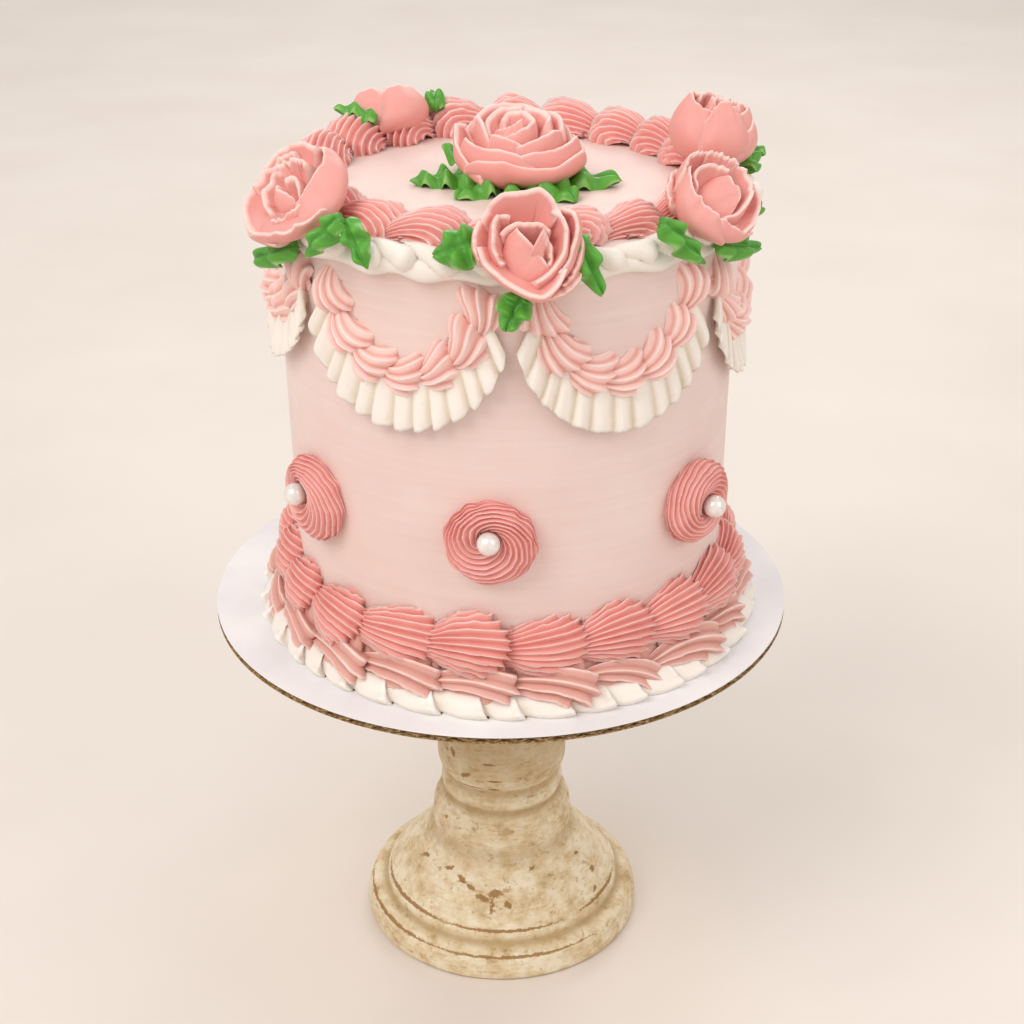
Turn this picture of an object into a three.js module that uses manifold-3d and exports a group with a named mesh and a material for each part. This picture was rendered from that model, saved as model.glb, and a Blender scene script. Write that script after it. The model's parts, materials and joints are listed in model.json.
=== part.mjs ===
// A round buttercream birthday cake on its corrugated cake board and turned wooden pedestal stand.
// Millimetres, +Z up. The stand's axis is x = y = 0 and its foot rests on z = 0.
// An azimuth is in degrees round the cake: 0 faces the front (-Y) and it grows towards +X.

import * as THREE from "three";
import { mergeVertices } from "three/addons/utils/BufferGeometryUtils.js";
import Module from "manifold-3d";

const wasm = await Module();
wasm.setup();

// Clearances
const GAP = 0.3; // between two pieces that touch
const WALL_GAP = 0.5; // behind icing with a flat back on the cake's round side

// Stand and board
const BOARD_RADIUS = 101.6; // an 8 inch cake circle
const BOARD_TOP = 140.2;
const BOARD_THICKNESS = 2.4;
const BOARD_SIDES = 48;
const STAND_SIDES = 20;

// Cake
const CAKE_X = 2.7;
const CAKE_Y = -6;
const CAKE_TOP = 290;
const CAKE_RADIUS_LOW = 73;
const CAKE_RADIUS_HIGH = 75.2;
const CAKE_SIDES = 48;

// Borders round the foot of the cake
const FOOT_SHELLS = 20;
const FOOT_BEADS = 38;
const FOOT_BACK = 73.9; // radius of the borders' flat backs

// Swags, ruffles, rosettes and pearls round the side
const SWAGS = 7;
const JOINT_AZIMUTH = 1; // where the two front swags meet
const SWAG_HALF_SPAN = 20.8;
const SWAG_LOW = 248;
const SWAG_RISE = 30;
const SWAG_SHELLS = 7;
const ROPE_HALF_WIDTH = 6;
const ROPE_DEPTH = 9.2;
const RUFFLE_HALF_SPAN = 25.2;
const RUFFLE_LOW = 232.8;
const RUFFLE_RISE = 35;
const RUFFLE_FLUTES = 13;
const SIDE_RADIUS = 80; // where widths along the icing on the side are measured
const ROSETTE_RADIUS = 14.8;
const ROSETTE_HEIGHT = 198.2;
const PEARL_RADIUS = 3.6;
const PEARL_CENTRE = 83.2;

// Top borders
const TOP_SHELLS = 20;
const TOP_SHELL_RADIUS = 65.2;
const TOP_SHELL_HALF_WIDTH = 10.6;
const TOP_SHELL_HEIGHT = 13.4;
const TOP_SHELL_FULLER = 0.13; // share by which they stand higher at the azimuth below
const TOP_SHELL_FULLEST = 150;
const TOP_BEADS = 40;

const COLOURS = {
  stand: "#d9c39b",
  board: "#ece6e4",
  cake: "#f0d2c6",
  deep: "#e58e88",
  blush: "#f0b3a8",
  swag: "#efab9d",
  cream: "#f3eadb",
  rose: "#eea09a",
  leaf: "#3c9640",
  pearl: "#f3eeea",
};

const cake = new THREE.Group();

function radians(degrees) {
  return THREE.MathUtils.degToRad(degrees);
}

function roundCake(azimuth, radius, z) {
  const angle = radians(azimuth);
  return new THREE.Vector3(CAKE_X + radius * Math.sin(angle), CAKE_Y - radius * Math.cos(angle), z);
}

function cakeRadius(z) {
  const share = (z - BOARD_TOP) / (CAKE_TOP - BOARD_TOP);
  return THREE.MathUtils.lerp(CAKE_RADIUS_LOW, CAKE_RADIUS_HIGH, share);
}

// A closed solid from points and triangles, turned so that its faces point out.
function solid(points, faces) {
  let volume = 0;
  for (const [a, b, c] of faces) {
    volume += points[a].dot(points[b].clone().cross(points[c]));
  }
  const outward = volume > 0 ? faces : faces.map(([a, b, c]) => [a, c, b]);
  return new wasm.Manifold(new wasm.Mesh({
    numProp: 3,
    vertProperties: Float32Array.from(points.flatMap((point) => point.toArray())),
    triVerts: Uint32Array.from(outward.flat()),
  }));
}

// A skin stretched over loops that all have the same number of points.
// From the point `turned` onwards its quads are split the other way, so a thin sheet has two faces alike.
function skin(loops, { ring = false, turned = Infinity, startTip = null, endTip = null } = {}) {
  const count = loops[0].length;
  const points = loops.flat();
  const faces = [];
  const bands = ring ? loops.length : loops.length - 1;
  for (let band = 0; band < bands; band += 1) {
    const near = band * count;
    const far = ((band + 1) % loops.length) * count;
    for (let i = 0; i < count; i += 1) {
      const next = (i + 1) % count;
      if (i < turned) {
        faces.push([near + i, near + next, far + next], [near + i, far + next, far + i]);
      } else {
        faces.push([near + i, near + next, far + i], [near + next, far + next, far + i]);
      }
    }
  }
  if (!ring) {
    const last = (loops.length - 1) * count;
    points.push(startTip ?? middle(loops[0]), endTip ?? middle(loops.at(-1)));
    for (let i = 0; i < count; i += 1) {
      const next = (i + 1) % count;
      faces.push([points.length - 2, next, i], [points.length - 1, last + i, last + next]);
    }
  }
  return solid(points, faces);
}

function middle(loop) {
  const sum = loop.reduce((total, point) => total.add(point), new THREE.Vector3());
  return sum.divideScalar(loop.length);
}

// The same solid with every vertex moved out along its normal, for cutting a clearance.
function grown(piece, distance = GAP * 1.3) {
  const mesh = piece.getMesh();
  const geometry = new THREE.BufferGeometry();
  const position = new THREE.BufferAttribute(Float32Array.from(mesh.vertProperties), mesh.numProp);
  geometry.setAttribute("position", position);
  geometry.setIndex(Array.from(mesh.triVerts));
  geometry.computeVertexNormals();
  const normal = geometry.getAttribute("normal");
  const points = [];
  for (let i = 0; i < position.count; i += 1) {
    const point = new THREE.Vector3().fromBufferAttribute(position, i);
    points.push(point.addScaledVector(new THREE.Vector3().fromBufferAttribute(normal, i), distance));
  }
  const faces = [];
  for (let i = 0; i < mesh.triVerts.length; i += 3) {
    faces.push(Array.from(mesh.triVerts.slice(i, i + 3)));
  }
  return solid(points, faces);
}

// What is left of a piece once its neighbours have been cut clear, without any loose scrap.
function clearOf(piece, neighbours) {
  const cut = neighbours.reduce((left, neighbour) => left.subtract(grown(neighbour)), piece);
  const parts = cut.decompose();
  return parts.reduce((best, part) => (part.volume() > best.volume() ? part : best));
}

function add(name, piece, colour, roughness = 0.6) {
  const mesh = piece.getMesh();
  const geometry = new THREE.BufferGeometry();
  geometry.setAttribute("position", new THREE.BufferAttribute(Float32Array.from(mesh.vertProperties), 3));
  geometry.setIndex(Array.from(mesh.triVerts));
  geometry.computeVertexNormals();
  const material = new THREE.MeshStandardMaterial({ color: colour, roughness, metalness: 0 });
  const object = new THREE.Mesh(geometry, material);
  object.name = name;
  cake.add(object);
}

// A closed three.js geometry, made with +Y up, as a solid with +Z up.
function upright(geometry, x, y, z) {
  geometry.deleteAttribute("normal");
  geometry.deleteAttribute("uv");
  const merged = mergeVertices(geometry).rotateX(Math.PI / 2).translate(x, y, z);
  const position = merged.getAttribute("position");
  const points = [];
  for (let i = 0; i < position.count; i += 1) {
    points.push(new THREE.Vector3().fromBufferAttribute(position, i));
  }
  const faces = [];
  for (let i = 0; i < merged.index.count; i += 3) {
    const face = [0, 1, 2].map((corner) => merged.index.getX(i + corner));
    if (new Set(face).size === 3) {
      faces.push(face);
    }
  }
  return solid(points, faces);
}

// A turned solid from its profile of [radius, height] points.
function turned(profile, sides, x = 0, y = 0) {
  const outline = [[0, profile[0][1]], ...profile, [0, profile.at(-1)[1]]];
  const points = outline.map(([radius, z]) => new THREE.Vector2(radius, z));
  return upright(new THREE.LatheGeometry(points, sides), x, y, 0);
}

// Points of a fluted arch, from its foot at [1, 0] over the crest to its foot at [-1, 0].
function archPoints(count, fluting, slant = 0) {
  const points = [];
  for (let i = 0; i <= count; i += 1) {
    const inside = i > 0 && i < count;
    const angle = Math.PI * (i + (inside ? slant : 0)) / count;
    const reach = i % 2 === 1 ? 1 : 1 - fluting;
    points.push([reach * Math.cos(angle), inside ? reach * Math.sin(angle) : 0]);
  }
  return points;
}

// How a shell swells behind its head and then runs out to its tail, which the next one covers.
function shellSize(share) {
  return 0.72 + 0.28 * Math.sin(Math.PI * Math.min(1, 0.12 + 1.15 * share));
}

// A border of shells round the cake, each with its head towards the greater azimuth.
// Its section gives [radius, height] points for a share of a shell, counted from the head.
function pipedRing(shells, steps, start, section) {
  const loops = [];
  for (let station = 0; station < shells * steps; station += 1) {
    const share = 1 - (station % steps + 1) / steps;
    const azimuth = start + 360 * station / (shells * steps);
    loops.push(section(share, azimuth).map(([radius, z]) => roundCake(azimuth, radius, z)));
  }
  return skin(loops, { ring: true });
}

// Stand

const standProfile = [
  [51.6, 0],
  [52.7, 1.4],
  [51.2, 8.6],
  [49.6, 10],
  [44.9, 11.6],
  [44.4, 14.6],
  [42.6, 17],
  [36, 25.5],
  [29.6, 32.8],
  [26.7, 36.4],
  [26.3, 44.5],
  [24.6, 50.4],
  [22.2, 54],
  [23, 57.8],
  [21.8, 62],
  [24, 67.5],
  [24.4, 76],
  [23.4, 84.5],
  [21.4, 90],
  [24, 104],
  [34, 116],
  [55, 125],
  [60, 127.5],
  [60, BOARD_TOP - BOARD_THICKNESS - GAP],
];
add("stand_pedestal", turned(standProfile, STAND_SIDES), COLOURS.stand, 0.7);

const boardProfile = [
  [BOARD_RADIUS, BOARD_TOP - BOARD_THICKNESS],
  [BOARD_RADIUS, BOARD_TOP],
];
add("cake_board", turned(boardProfile, BOARD_SIDES), COLOURS.board, 0.6);

// Cake

const cakeProfile = [
  [CAKE_RADIUS_LOW, BOARD_TOP + GAP],
  [CAKE_RADIUS_HIGH, CAKE_TOP - 3],
  [CAKE_RADIUS_HIGH - 0.6, CAKE_TOP - 1],
  [CAKE_RADIUS_HIGH - 2.4, CAKE_TOP],
];
const cakeBody = turned(cakeProfile, CAKE_SIDES, CAKE_X, CAKE_Y);
add("cake_body", cakeBody, COLOURS.cake, 0.55);

// Borders round the foot: cream beads on the board, blush shells over them and deep pink shells on top.

const creamFoot = { low: BOARD_TOP + GAP, height: 3.4, depth: 13.8 };
const blushFoot = { low: creamFoot.low + creamFoot.height + GAP, height: 5.2, depth: 11.2 };
const deepFoot = { low: blushFoot.low + blushFoot.height + GAP, height: 18.8, depth: 8.8 };

function footSection(border, arch, size) {
  return arch.map(([along, out]) => {
    const z = border.low + border.height * (0.4 + 0.6 * size) * (1 - along) / 2;
    return [FOOT_BACK + border.depth * size * out, z];
  });
}

add("base_border_cream", pipedRing(FOOT_BEADS, 2, 0, (share) => (
  footSection(creamFoot, archPoints(3, 0), share < 0.4 ? 1 : 0.86)
)), COLOURS.cream);
add("base_border_blush", pipedRing(FOOT_SHELLS, 3, -4, (share) => (
  footSection(blushFoot, archPoints(5, 0.05, 0.5 * (share - 0.33)), shellSize(share))
)), COLOURS.blush);
add("base_border_deep", pipedRing(FOOT_SHELLS, 4, -4, (share) => (
  footSection(deepFoot, archPoints(7, 0.13, 0.7 * (share - 0.4)), shellSize(share))
)), COLOURS.deep);

// Top borders: deep pink shells on the top edge and a cream border hugging the side below them.

const topShells = pipedRing(TOP_SHELLS, 4, 5, (share, azimuth) => {
  const size = shellSize(share);
  const fuller = TOP_SHELL_FULLER * Math.cos(radians(azimuth - TOP_SHELL_FULLEST));
  const height = TOP_SHELL_HEIGHT * (1 + fuller);
  return archPoints(7, 0.13, 1.1 * (share - 0.4)).map(([along, out]) => [
    TOP_SHELL_RADIUS + TOP_SHELL_HALF_WIDTH * (0.35 + 0.65 * size) * along,
    CAKE_TOP + GAP + height * size * out,
  ]);
});
add("top_border_shells", topShells, COLOURS.deep);

const topCream = pipedRing(TOP_BEADS, 2, 0, (share) => {
  const bead = share < 0.4 ? 0.9 : 0;
  const back = CAKE_RADIUS_HIGH + WALL_GAP;
  return [[back, 289.9], [back + 3.4 + bead, 289.9], [back + 5 + bead, 286.4], [back + 3.8, 281.6], [back, 280.2]];
});
add("top_border_cream", topCream, COLOURS.cream);

// Swags: a half ellipse of shells piped on the side, with a fluted cream ruffle below each.

const swagLift = [0, 0, 1, -1, 0, 7, 1]; // how much higher each one hangs at its lowest point

function hanging(halfSpan, low, rise, turn, lift) {
  return {
    azimuth: halfSpan * Math.sin(turn),
    z: low + lift + (rise - lift) * (1 - Math.cos(turn)),
  };
}

function swagPoint(turn, lift) {
  return hanging(SWAG_HALF_SPAN, SWAG_LOW, SWAG_RISE, turn, lift);
}

// The direction across the swag on the cake's side, pointing down and out: [along the side, up].
function swagAcross(turn) {
  const halfSpan = radians(SWAG_HALF_SPAN) * SIDE_RADIUS;
  const across = new THREE.Vector2(SWAG_RISE * Math.sin(turn), -halfSpan * Math.cos(turn));
  return across.normalize();
}

function onSide(middleAzimuth, point, across, distance, out) {
  const azimuth = middleAzimuth + point.azimuth
    + THREE.MathUtils.radToDeg(across.x * distance / SIDE_RADIUS);
  const z = point.z + across.y * distance;
  return roundCake(azimuth, cakeRadius(z) + WALL_GAP + out, z);
}

function swag(middleAzimuth, lift) {
  const steps = 3;
  const loops = [];
  for (let station = 0; station <= SWAG_SHELLS * steps; station += 1) {
    const turn = Math.PI * (station / (SWAG_SHELLS * steps) - 0.5);
    const share = 1 - (station % steps + 1) / steps;
    const size = shellSize(share);
    const end = station === 0 || station === SWAG_SHELLS * steps ? 0.6 : 1;
    loops.push(archPoints(5, 0.14, 0.9 * (share - 0.33)).map(([along, out]) => onSide(
      middleAzimuth,
      swagPoint(turn, lift),
      swagAcross(turn),
      ROPE_HALF_WIDTH * size * end * along,
      ROPE_DEPTH * size * end * out,
    )));
  }
  return skin(loops);
}

function ruffle(middleAzimuth, lift) {
  const loops = [];
  const stations = 2 * RUFFLE_FLUTES;
  for (let station = 0; station <= stations; station += 1) {
    const turn = radians(144) * (station / stations - 0.5);
    const crest = station % 2 === 0 ? 0 : 1;
    const across = swagAcross(turn);
    const centre = swagPoint(turn, lift);
    const back = onSide(middleAzimuth, centre, across, ROPE_HALF_WIDTH + 0.5, 0);
    const front = onSide(middleAzimuth, centre, across, ROPE_HALF_WIDTH + 0.5, 2.8);
    const hem = hanging(RUFFLE_HALF_SPAN, RUFFLE_LOW, RUFFLE_RISE, turn, lift);
    loops.push([back, front, onSide(middleAzimuth, hem, across, crest, 0.8 + 5 * crest)]);
  }
  return skin(loops);
}

const swags = [];
for (let i = 0; i < SWAGS; i += 1) {
  const middleAzimuth = JOINT_AZIMUTH + 360 * (i + 0.5) / SWAGS;
  swags.push(swag(middleAzimuth, swagLift[i]));
  add(`swag_${i + 1}`, swags[i], COLOURS.swag);
  add(`ruffle_${i + 1}`, ruffle(middleAzimuth, swagLift[i]), COLOURS.cream);
}

// Rosettes with a pearl in the middle, one below each joint of the swags, set by hand.

const rosetteShift = [-5, -0.2, 13, -2, 1.5, -15, -4.2];
const pearlLift = [3, 0, 1, -1, 0.5, 0, 3]; // how far above the middle of its rosette each pearl was set
const rosetteRings = [[0.92, 0], [1, 2.2], [0.83, 6], [0.53, 8], [0.31, 7.4], [0.24, 5.4]];

function rosette(azimuth, lift) {
  const wall = cakeRadius(ROSETTE_HEIGHT) + WALL_GAP;
  const across = (u, v, out) => (
    roundCake(azimuth + THREE.MathUtils.radToDeg(u / wall), wall + out, ROSETTE_HEIGHT + v)
  );
  const loops = rosetteRings.map(([reach, out], ring) => {
    const loop = [];
    const rise = lift * (1 - reach) / (1 - rosetteRings.at(-1)[0]);
    for (let i = 0; i < 12; i += 1) {
      const angle = 2 * Math.PI * i / 12 + 0.2 * ring;
      const flute = ring > 0 && ring < 4 && i % 2 === 1 ? 0.88 : 1;
      const radius = ROSETTE_RADIUS * reach * flute;
      loop.push(across(radius * Math.cos(angle), radius * Math.sin(angle) + rise, out));
    }
    return loop;
  });
  return skin(loops, { startTip: across(0, 0, 0), endTip: across(0, lift, 4.2) });
}

function pearl(azimuth, lift) {
  const { x, y, z } = roundCake(azimuth, PEARL_CENTRE, ROSETTE_HEIGHT + lift);
  return upright(new THREE.SphereGeometry(PEARL_RADIUS, 8, 4), x, y, z);
}

for (let i = 0; i < SWAGS; i += 1) {
  const azimuth = JOINT_AZIMUTH + 360 * i / SWAGS + rosetteShift[i];
  add(`rosette_${i + 1}`, rosette(azimuth, pearlLift[i]), COLOURS.deep);
  add(`pearl_${i + 1}`, pearl(azimuth, pearlLift[i]), COLOURS.pearl, 0.2);
}

// Roses. Each stands on its own axis, leaning out from the cake by its tilt.

const roses = {
  centre: { azimuth: 36, reach: 5, z: 290.7, tilt: 2, radius: 20.4, height: 21.5 },
  front: { azimuth: 3.5, reach: 76.8, z: 287.4, tilt: 52, radius: 15.4, height: 17 },
  right: { azimuth: 49, reach: 75, z: 291, tilt: 34, radius: 13.6, height: 17 },
  left: { azimuth: -52, reach: 75, z: 291.5, tilt: 34, radius: 17.4, height: 18 },
  right_back: { azimuth: 98, reach: 64.5, z: 293.5, tilt: 12, radius: 13.8, height: 21.5 },
  left_back: { azimuth: -142, reach: 65.5, z: 292, tilt: 12, radius: 13.4, height: 16.5 },
};

// The axes at a place on the cake whose Z leans outwards by the tilt.
function leaning(azimuth, reach, z, tilt) {
  const matrix = new THREE.Matrix4().makeRotationZ(radians(azimuth));
  matrix.multiply(new THREE.Matrix4().makeRotationX(radians(tilt)));
  return matrix.setPosition(roundCake(azimuth, reach, z));
}

const roseRings = [
  { reach: 0.55, height: 0, petals: 0 },
  { reach: 0.88, height: 0.26, petals: 1 },
  { reach: 1, height: 0.6, petals: 1 },
  { reach: 0.76, height: 0.54, petals: 1 },
  { reach: 0.68, height: 0.86, petals: 2 },
  { reach: 0.46, height: 0.76, petals: 2 },
  { reach: 0.36, height: 1, petals: 3 },
];

function rose({ azimuth, reach, z, tilt, radius, height }) {
  const place = leaning(azimuth, reach, z, tilt);
  const points = 15; // three for each of five petals
  const loops = roseRings.map((ring) => {
    const loop = [];
    for (let i = 0; i < points; i += 1) {
      const angle = 2 * Math.PI * (i / points + ring.petals * 0.1);
      const dip = ring.petals > 0 && i % 3 === 0 ? 0.9 : 1;
      loop.push(new THREE.Vector3(
        radius * ring.reach * dip * Math.cos(angle),
        radius * ring.reach * dip * Math.sin(angle),
        height * ring.height * (0.5 + 0.5 * dip),
      ).applyMatrix4(place));
    }
    return loop;
  });
  return skin(loops, { endTip: new THREE.Vector3(0, 0, height * 0.88).applyMatrix4(place) });
}

const borders = [cakeBody, topShells, topCream];
const roseSolids = {};
for (const [name, sizes] of Object.entries(roses)) {
  roseSolids[name] = clearOf(rose(sizes), name === "centre" ? [] : [...borders, ...swags]);
  add(`rose_${name}`, roseSolids[name], COLOURS.rose);
}

// Leaves: thin wavy blades folded along the middle, from a stem end to a tip, both [azimuth, radius, z].

const leafStations = [[0, 0.4], [0.36, 1], [0.72, 0.66], [1, 0.1]];
const LEAF_THICKNESS = 1.5;

function leaf(stem, tip, halfWidth, up) {
  const from = roundCake(...stem);
  const along = roundCake(...tip).sub(from);
  const side = new THREE.Vector3().crossVectors(up, along).normalize();
  const normal = new THREE.Vector3().crossVectors(along, side).normalize();
  const loops = leafStations.map(([share, width], station) => {
    const spine = from.clone().addScaledVector(along, share);
    const wave = station % 2 === 0 ? 0.7 : 0;
    const edge = (sign, lift) => spine.clone()
      .addScaledVector(side, sign * halfWidth * width)
      .addScaledVector(normal, lift + (sign === 0 ? 0 : 1.1 * width + wave * sign));
    const upper = [-1, 0, 1].map((sign) => edge(sign, LEAF_THICKNESS));
    const under = [1, 0, -1].map((sign) => edge(sign, 0));
    return [...upper, ...under];
  });
  return skin(loops, { turned: 3 });
}

const UP = new THREE.Vector3(0, 0, 1);

function outwards(azimuth, lift) {
  const angle = radians(azimuth);
  return new THREE.Vector3(Math.sin(angle), -Math.cos(angle), lift).normalize();
}

// Leaves of the middle rose lie flat on the top, placed by their direction from the rose.
function topLeaf(direction, from, to, halfWidth, rise = 0) {
  const { x, y } = roundCake(roses.centre.azimuth, roses.centre.reach, 0);
  const ends = [[from, 0], [to, rise]].map(([reach, lift]) => {
    const angle = radians(direction);
    const dx = x + reach * Math.sin(angle) - CAKE_X;
    const dy = y - reach * Math.cos(angle) - CAKE_Y;
    return [THREE.MathUtils.radToDeg(Math.atan2(dx, -dy)), Math.hypot(dx, dy), CAKE_TOP + GAP + 0.5 + lift];
  });
  return leaf(ends[0], ends[1], halfWidth, UP);
}

const leaves = {
  centre_left: [topLeaf(-86, 12, 34, 6.5), "centre"],
  centre_back: [topLeaf(-130, 14, 32, 4.6, 6), "centre"],
  centre_front_left: [topLeaf(-44, 12, 27, 6.5), "centre"],
  centre_front: [topLeaf(6, 12, 26, 6.2).add(topLeaf(38, 12, 29, 6.6)), "centre"],
  centre_right: [topLeaf(84, 12, 33, 7.5), "centre"],
  front_left: [leaf([-5.5, 82, 294.5], [-14.2, 84, 291], 7.4, outwards(-9, 0.6)), "front"],
  front_right: [leaf([13, 83.5, 297], [18, 86, 279.5], 5, outwards(15, 0.5)), "front"],
  front_low: [leaf([2.5, 86, 281], [-0.5, 88, 271], 6.5, outwards(1, 0.2)), "front"],
  left_inner: [leaf([-34, 82, 297], [-28.2, 84, 284.5], 5.5, outwards(-31, 0.6)), "left"],
  left_low: [leaf([-34.5, 84, 298], [-42.2, 86, 285], 5, outwards(-40, 0.5)), "left"],
  left_outer: [leaf([-50, 82, 284.5], [-64, 86, 274.5], 5.2, outwards(-57, 0.4)), "left"],
  right_inner: [leaf([32, 82, 296.5], [42, 85.5, 282.5], 5, outwards(38, 0.6)), "right"],
  right_outer: [leaf([48, 83, 286], [62, 86, 280], 5.2, outwards(55, 0.5)), "right"],
  right_side: [leaf([60, 80, 292], [70, 83, 288.5], 3, outwards(66, 0.7)), "right"],
  right_back_low: [leaf([105, 77.5, 294.5], [94.5, 80.5, 291], 5, outwards(99, 1)), "right_back"],
  right_back_outer: [leaf([108, 79.5, 296.5], [102.5, 87, 293], 3.6, outwards(105, 1.2)), "right_back"],
  left_back_low: [leaf([-130, 58, 301], [-124, 72, 305.5], 4.2, outwards(-126, 3)), "left_back"],
  left_back_outer: [leaf([-155, 60, 302], [-159, 72, 305.2], 4, outwards(-156, 3)), "left_back"],
};

for (const [name, [blade, roseName]] of Object.entries(leaves)) {
  const onTop = roseName === "centre";
  const neighbours = onTop ? [roseSolids.centre] : [roseSolids[roseName], ...borders, ...swags];
  add(`leaf_${name}`, clearOf(blade, neighbours), COLOURS.leaf, 0.5);
}

export default cake;
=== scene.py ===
# A round buttercream birthday cake with its board and turned pedestal stand, dressed for the camera.
# Sizes are in millimetres and become metres where a mesh is made. Places come from the frame.
# An azimuth is in degrees round the cake: 0 faces the camera (-Y) and it grows towards +X.

import json
import math

import bmesh
import bpy
import numpy as np
from mathutils import Euler, Matrix, Vector

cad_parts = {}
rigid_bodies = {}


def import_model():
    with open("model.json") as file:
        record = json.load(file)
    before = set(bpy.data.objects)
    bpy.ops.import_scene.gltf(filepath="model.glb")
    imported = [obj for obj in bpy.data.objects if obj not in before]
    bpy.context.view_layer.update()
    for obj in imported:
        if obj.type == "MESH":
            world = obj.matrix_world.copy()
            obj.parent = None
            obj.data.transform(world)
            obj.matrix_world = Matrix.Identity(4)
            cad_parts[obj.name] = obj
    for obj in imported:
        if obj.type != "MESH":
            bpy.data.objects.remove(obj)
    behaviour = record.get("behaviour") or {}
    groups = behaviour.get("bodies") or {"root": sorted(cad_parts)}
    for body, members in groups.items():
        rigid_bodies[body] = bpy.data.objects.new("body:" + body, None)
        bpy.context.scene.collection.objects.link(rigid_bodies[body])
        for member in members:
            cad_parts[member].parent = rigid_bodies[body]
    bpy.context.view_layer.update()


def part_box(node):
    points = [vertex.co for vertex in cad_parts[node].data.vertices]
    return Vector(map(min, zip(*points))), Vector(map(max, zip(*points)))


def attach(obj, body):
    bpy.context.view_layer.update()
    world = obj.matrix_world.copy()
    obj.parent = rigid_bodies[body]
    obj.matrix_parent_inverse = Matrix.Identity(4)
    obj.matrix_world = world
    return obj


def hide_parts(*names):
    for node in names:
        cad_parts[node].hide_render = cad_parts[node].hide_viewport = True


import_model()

MM = 0.001

# Sizes read from the frame, in millimetres. Only the taper, by which the cake's radius is smaller at
# its foot, is given here.

cake_low, cake_high = np.array(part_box("cake_body")) / MM
board_low, board_high = np.array(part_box("cake_board")) / MM
CAKE_X, CAKE_Y = ((cake_low + cake_high) / 2)[:2]
CAKE_FOOT, CAKE_TOP = cake_low[2], cake_high[2]
CAKE_TAPER = 2.2
CAKE_RADIUS_HIGH = (cake_high[0] - cake_low[0]) / 2
CAKE_RADIUS_LOW = CAKE_RADIUS_HIGH - CAKE_TAPER
BOARD_BOTTOM, BOARD_TOP = board_low[2], board_high[2]
BOARD_RADIUS = board_high[0]

# Sizes that the solids were made from, and the radii of the foot border and the top edge, where the
# lengths of shells and beads are measured. A rise is from the lowest point of a hanging line to its
# ends, a half span is in degrees, two swags meet at the joint azimuth, and the lists hold the baker's
# small errors, one for each swag or rosette.

FOOT_SHELLS = 20
FOOT_SHELL_START = -4
FOOT_BORDER_RADIUS = 79
FOOT_BEADS = 38
SWAGS = 7
JOINT_AZIMUTH = 1
SWAG_HALF_SPAN = 20.8
SWAG_LOW = 248
SWAG_RISE = 30
SWAG_SHELLS = 7
SWAG_LIFT = [0, 0, 1, -1, 0, 7, 1]
RUFFLE_HALF_SPAN = 25.2
RUFFLE_LOW = 232.8
RUFFLE_RISE = 35
RUFFLE_FLUTES = 13
SIDE_RADIUS = 80
ROSETTE_RADIUS = 14.8
ROSETTE_HEIGHT = 198.2
ROSETTE_SHIFT = [-5, -0.2, 13, -2, 1.5, -15, -4.2]
PEARL_LIFT = [3, 0, 1, -1, 0.5, 0, 3]
PEARL_RADIUS = 3.6
PEARL_CENTRE = 83.2
TOP_SHELLS = 20
TOP_SHELL_START = 5
TOP_SHELL_RADIUS = 65.2
TOP_BEADS = 40
TOP_EDGE_RADIUS = 79

# Points, curves and meshes


def points_at(x, y, z):
    """Points from coordinates of any shapes that go together."""
    return np.stack(np.broadcast_arrays(x, y, z), axis=-1)


def round_stand(angle, radius, z):
    """Points at that angle in radians and distance from the axis of the stand and the board."""
    return points_at(radius * np.sin(angle), -radius * np.cos(angle), z)


def round_cake(azimuth, radius, z):
    """Points at that azimuth in degrees and distance from the cake's own axis."""
    return round_stand(np.radians(azimuth), radius, z) + (CAKE_X, CAKE_Y, 0)


def cake_radius(z):
    """The coated side's distance from the cake's axis, which grows upwards."""
    share = (z - BOARD_TOP) / (CAKE_TOP - BOARD_TOP)
    return CAKE_RADIUS_LOW + (CAKE_RADIUS_HIGH - CAKE_RADIUS_LOW) * share


def curve(where, knots, values):
    """A smooth line through the values at the knots that never swings past them."""
    knots = np.asarray(knots, dtype=float)
    values = np.asarray(values, dtype=float)
    steps = np.diff(knots)
    rises = np.diff(values) / steps
    before, after = rises[:-1], rises[1:]
    bends = np.where(before * after > 0, 2 * before * after / (before + after + 1e-12), 0)
    slopes = np.concatenate([rises[:1], bends, rises[-1:]])
    where = np.asarray(where, dtype=float)
    i = np.clip(np.searchsorted(knots, where, side="right") - 1, 0, len(steps) - 1)
    t = (where - knots[i]) / steps[i]
    start = values[i] * (2 * t**3 - 3 * t**2 + 1) + steps[i] * slopes[i] * (t**3 - 2 * t**2 + t)
    return start + values[i + 1] * (3 * t**2 - 2 * t**3) + steps[i] * slopes[i + 1] * (t**3 - t**2)


def smooth_step(low, high, value):
    """0 up to low and 1 from high on, with a soft rise in between."""
    share = np.clip((value - low) / (high - low), 0, 1)
    return share * share * (3 - 2 * share)


def patches(rng, shape, counts):
    """Random values from -1 to 1 that change smoothly over a grid, with that many patches each way."""
    tall, wide = counts
    knots = rng.uniform(-1, 1, (tall + 1, wide + 1))
    down = np.linspace(0, tall, shape[0])
    across = np.linspace(0, wide, shape[1])
    rows = np.stack([curve(down, range(tall + 1), column) for column in knots.T], axis=1)
    return np.stack([curve(across, range(wide + 1), row) for row in rows])


def off_seam(around, fade):
    """0 where a ring closes at 0 degrees and 1 from that many degrees away, so that an uneven skin
    meets itself."""
    return smooth_step(0, fade, np.minimum(around, 360 - around))


def profile_columns(profile):
    """The radius and the z of a list of (radius, z) points, each as a column."""
    return np.array(profile, dtype=float).T[:, :, None]


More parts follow.
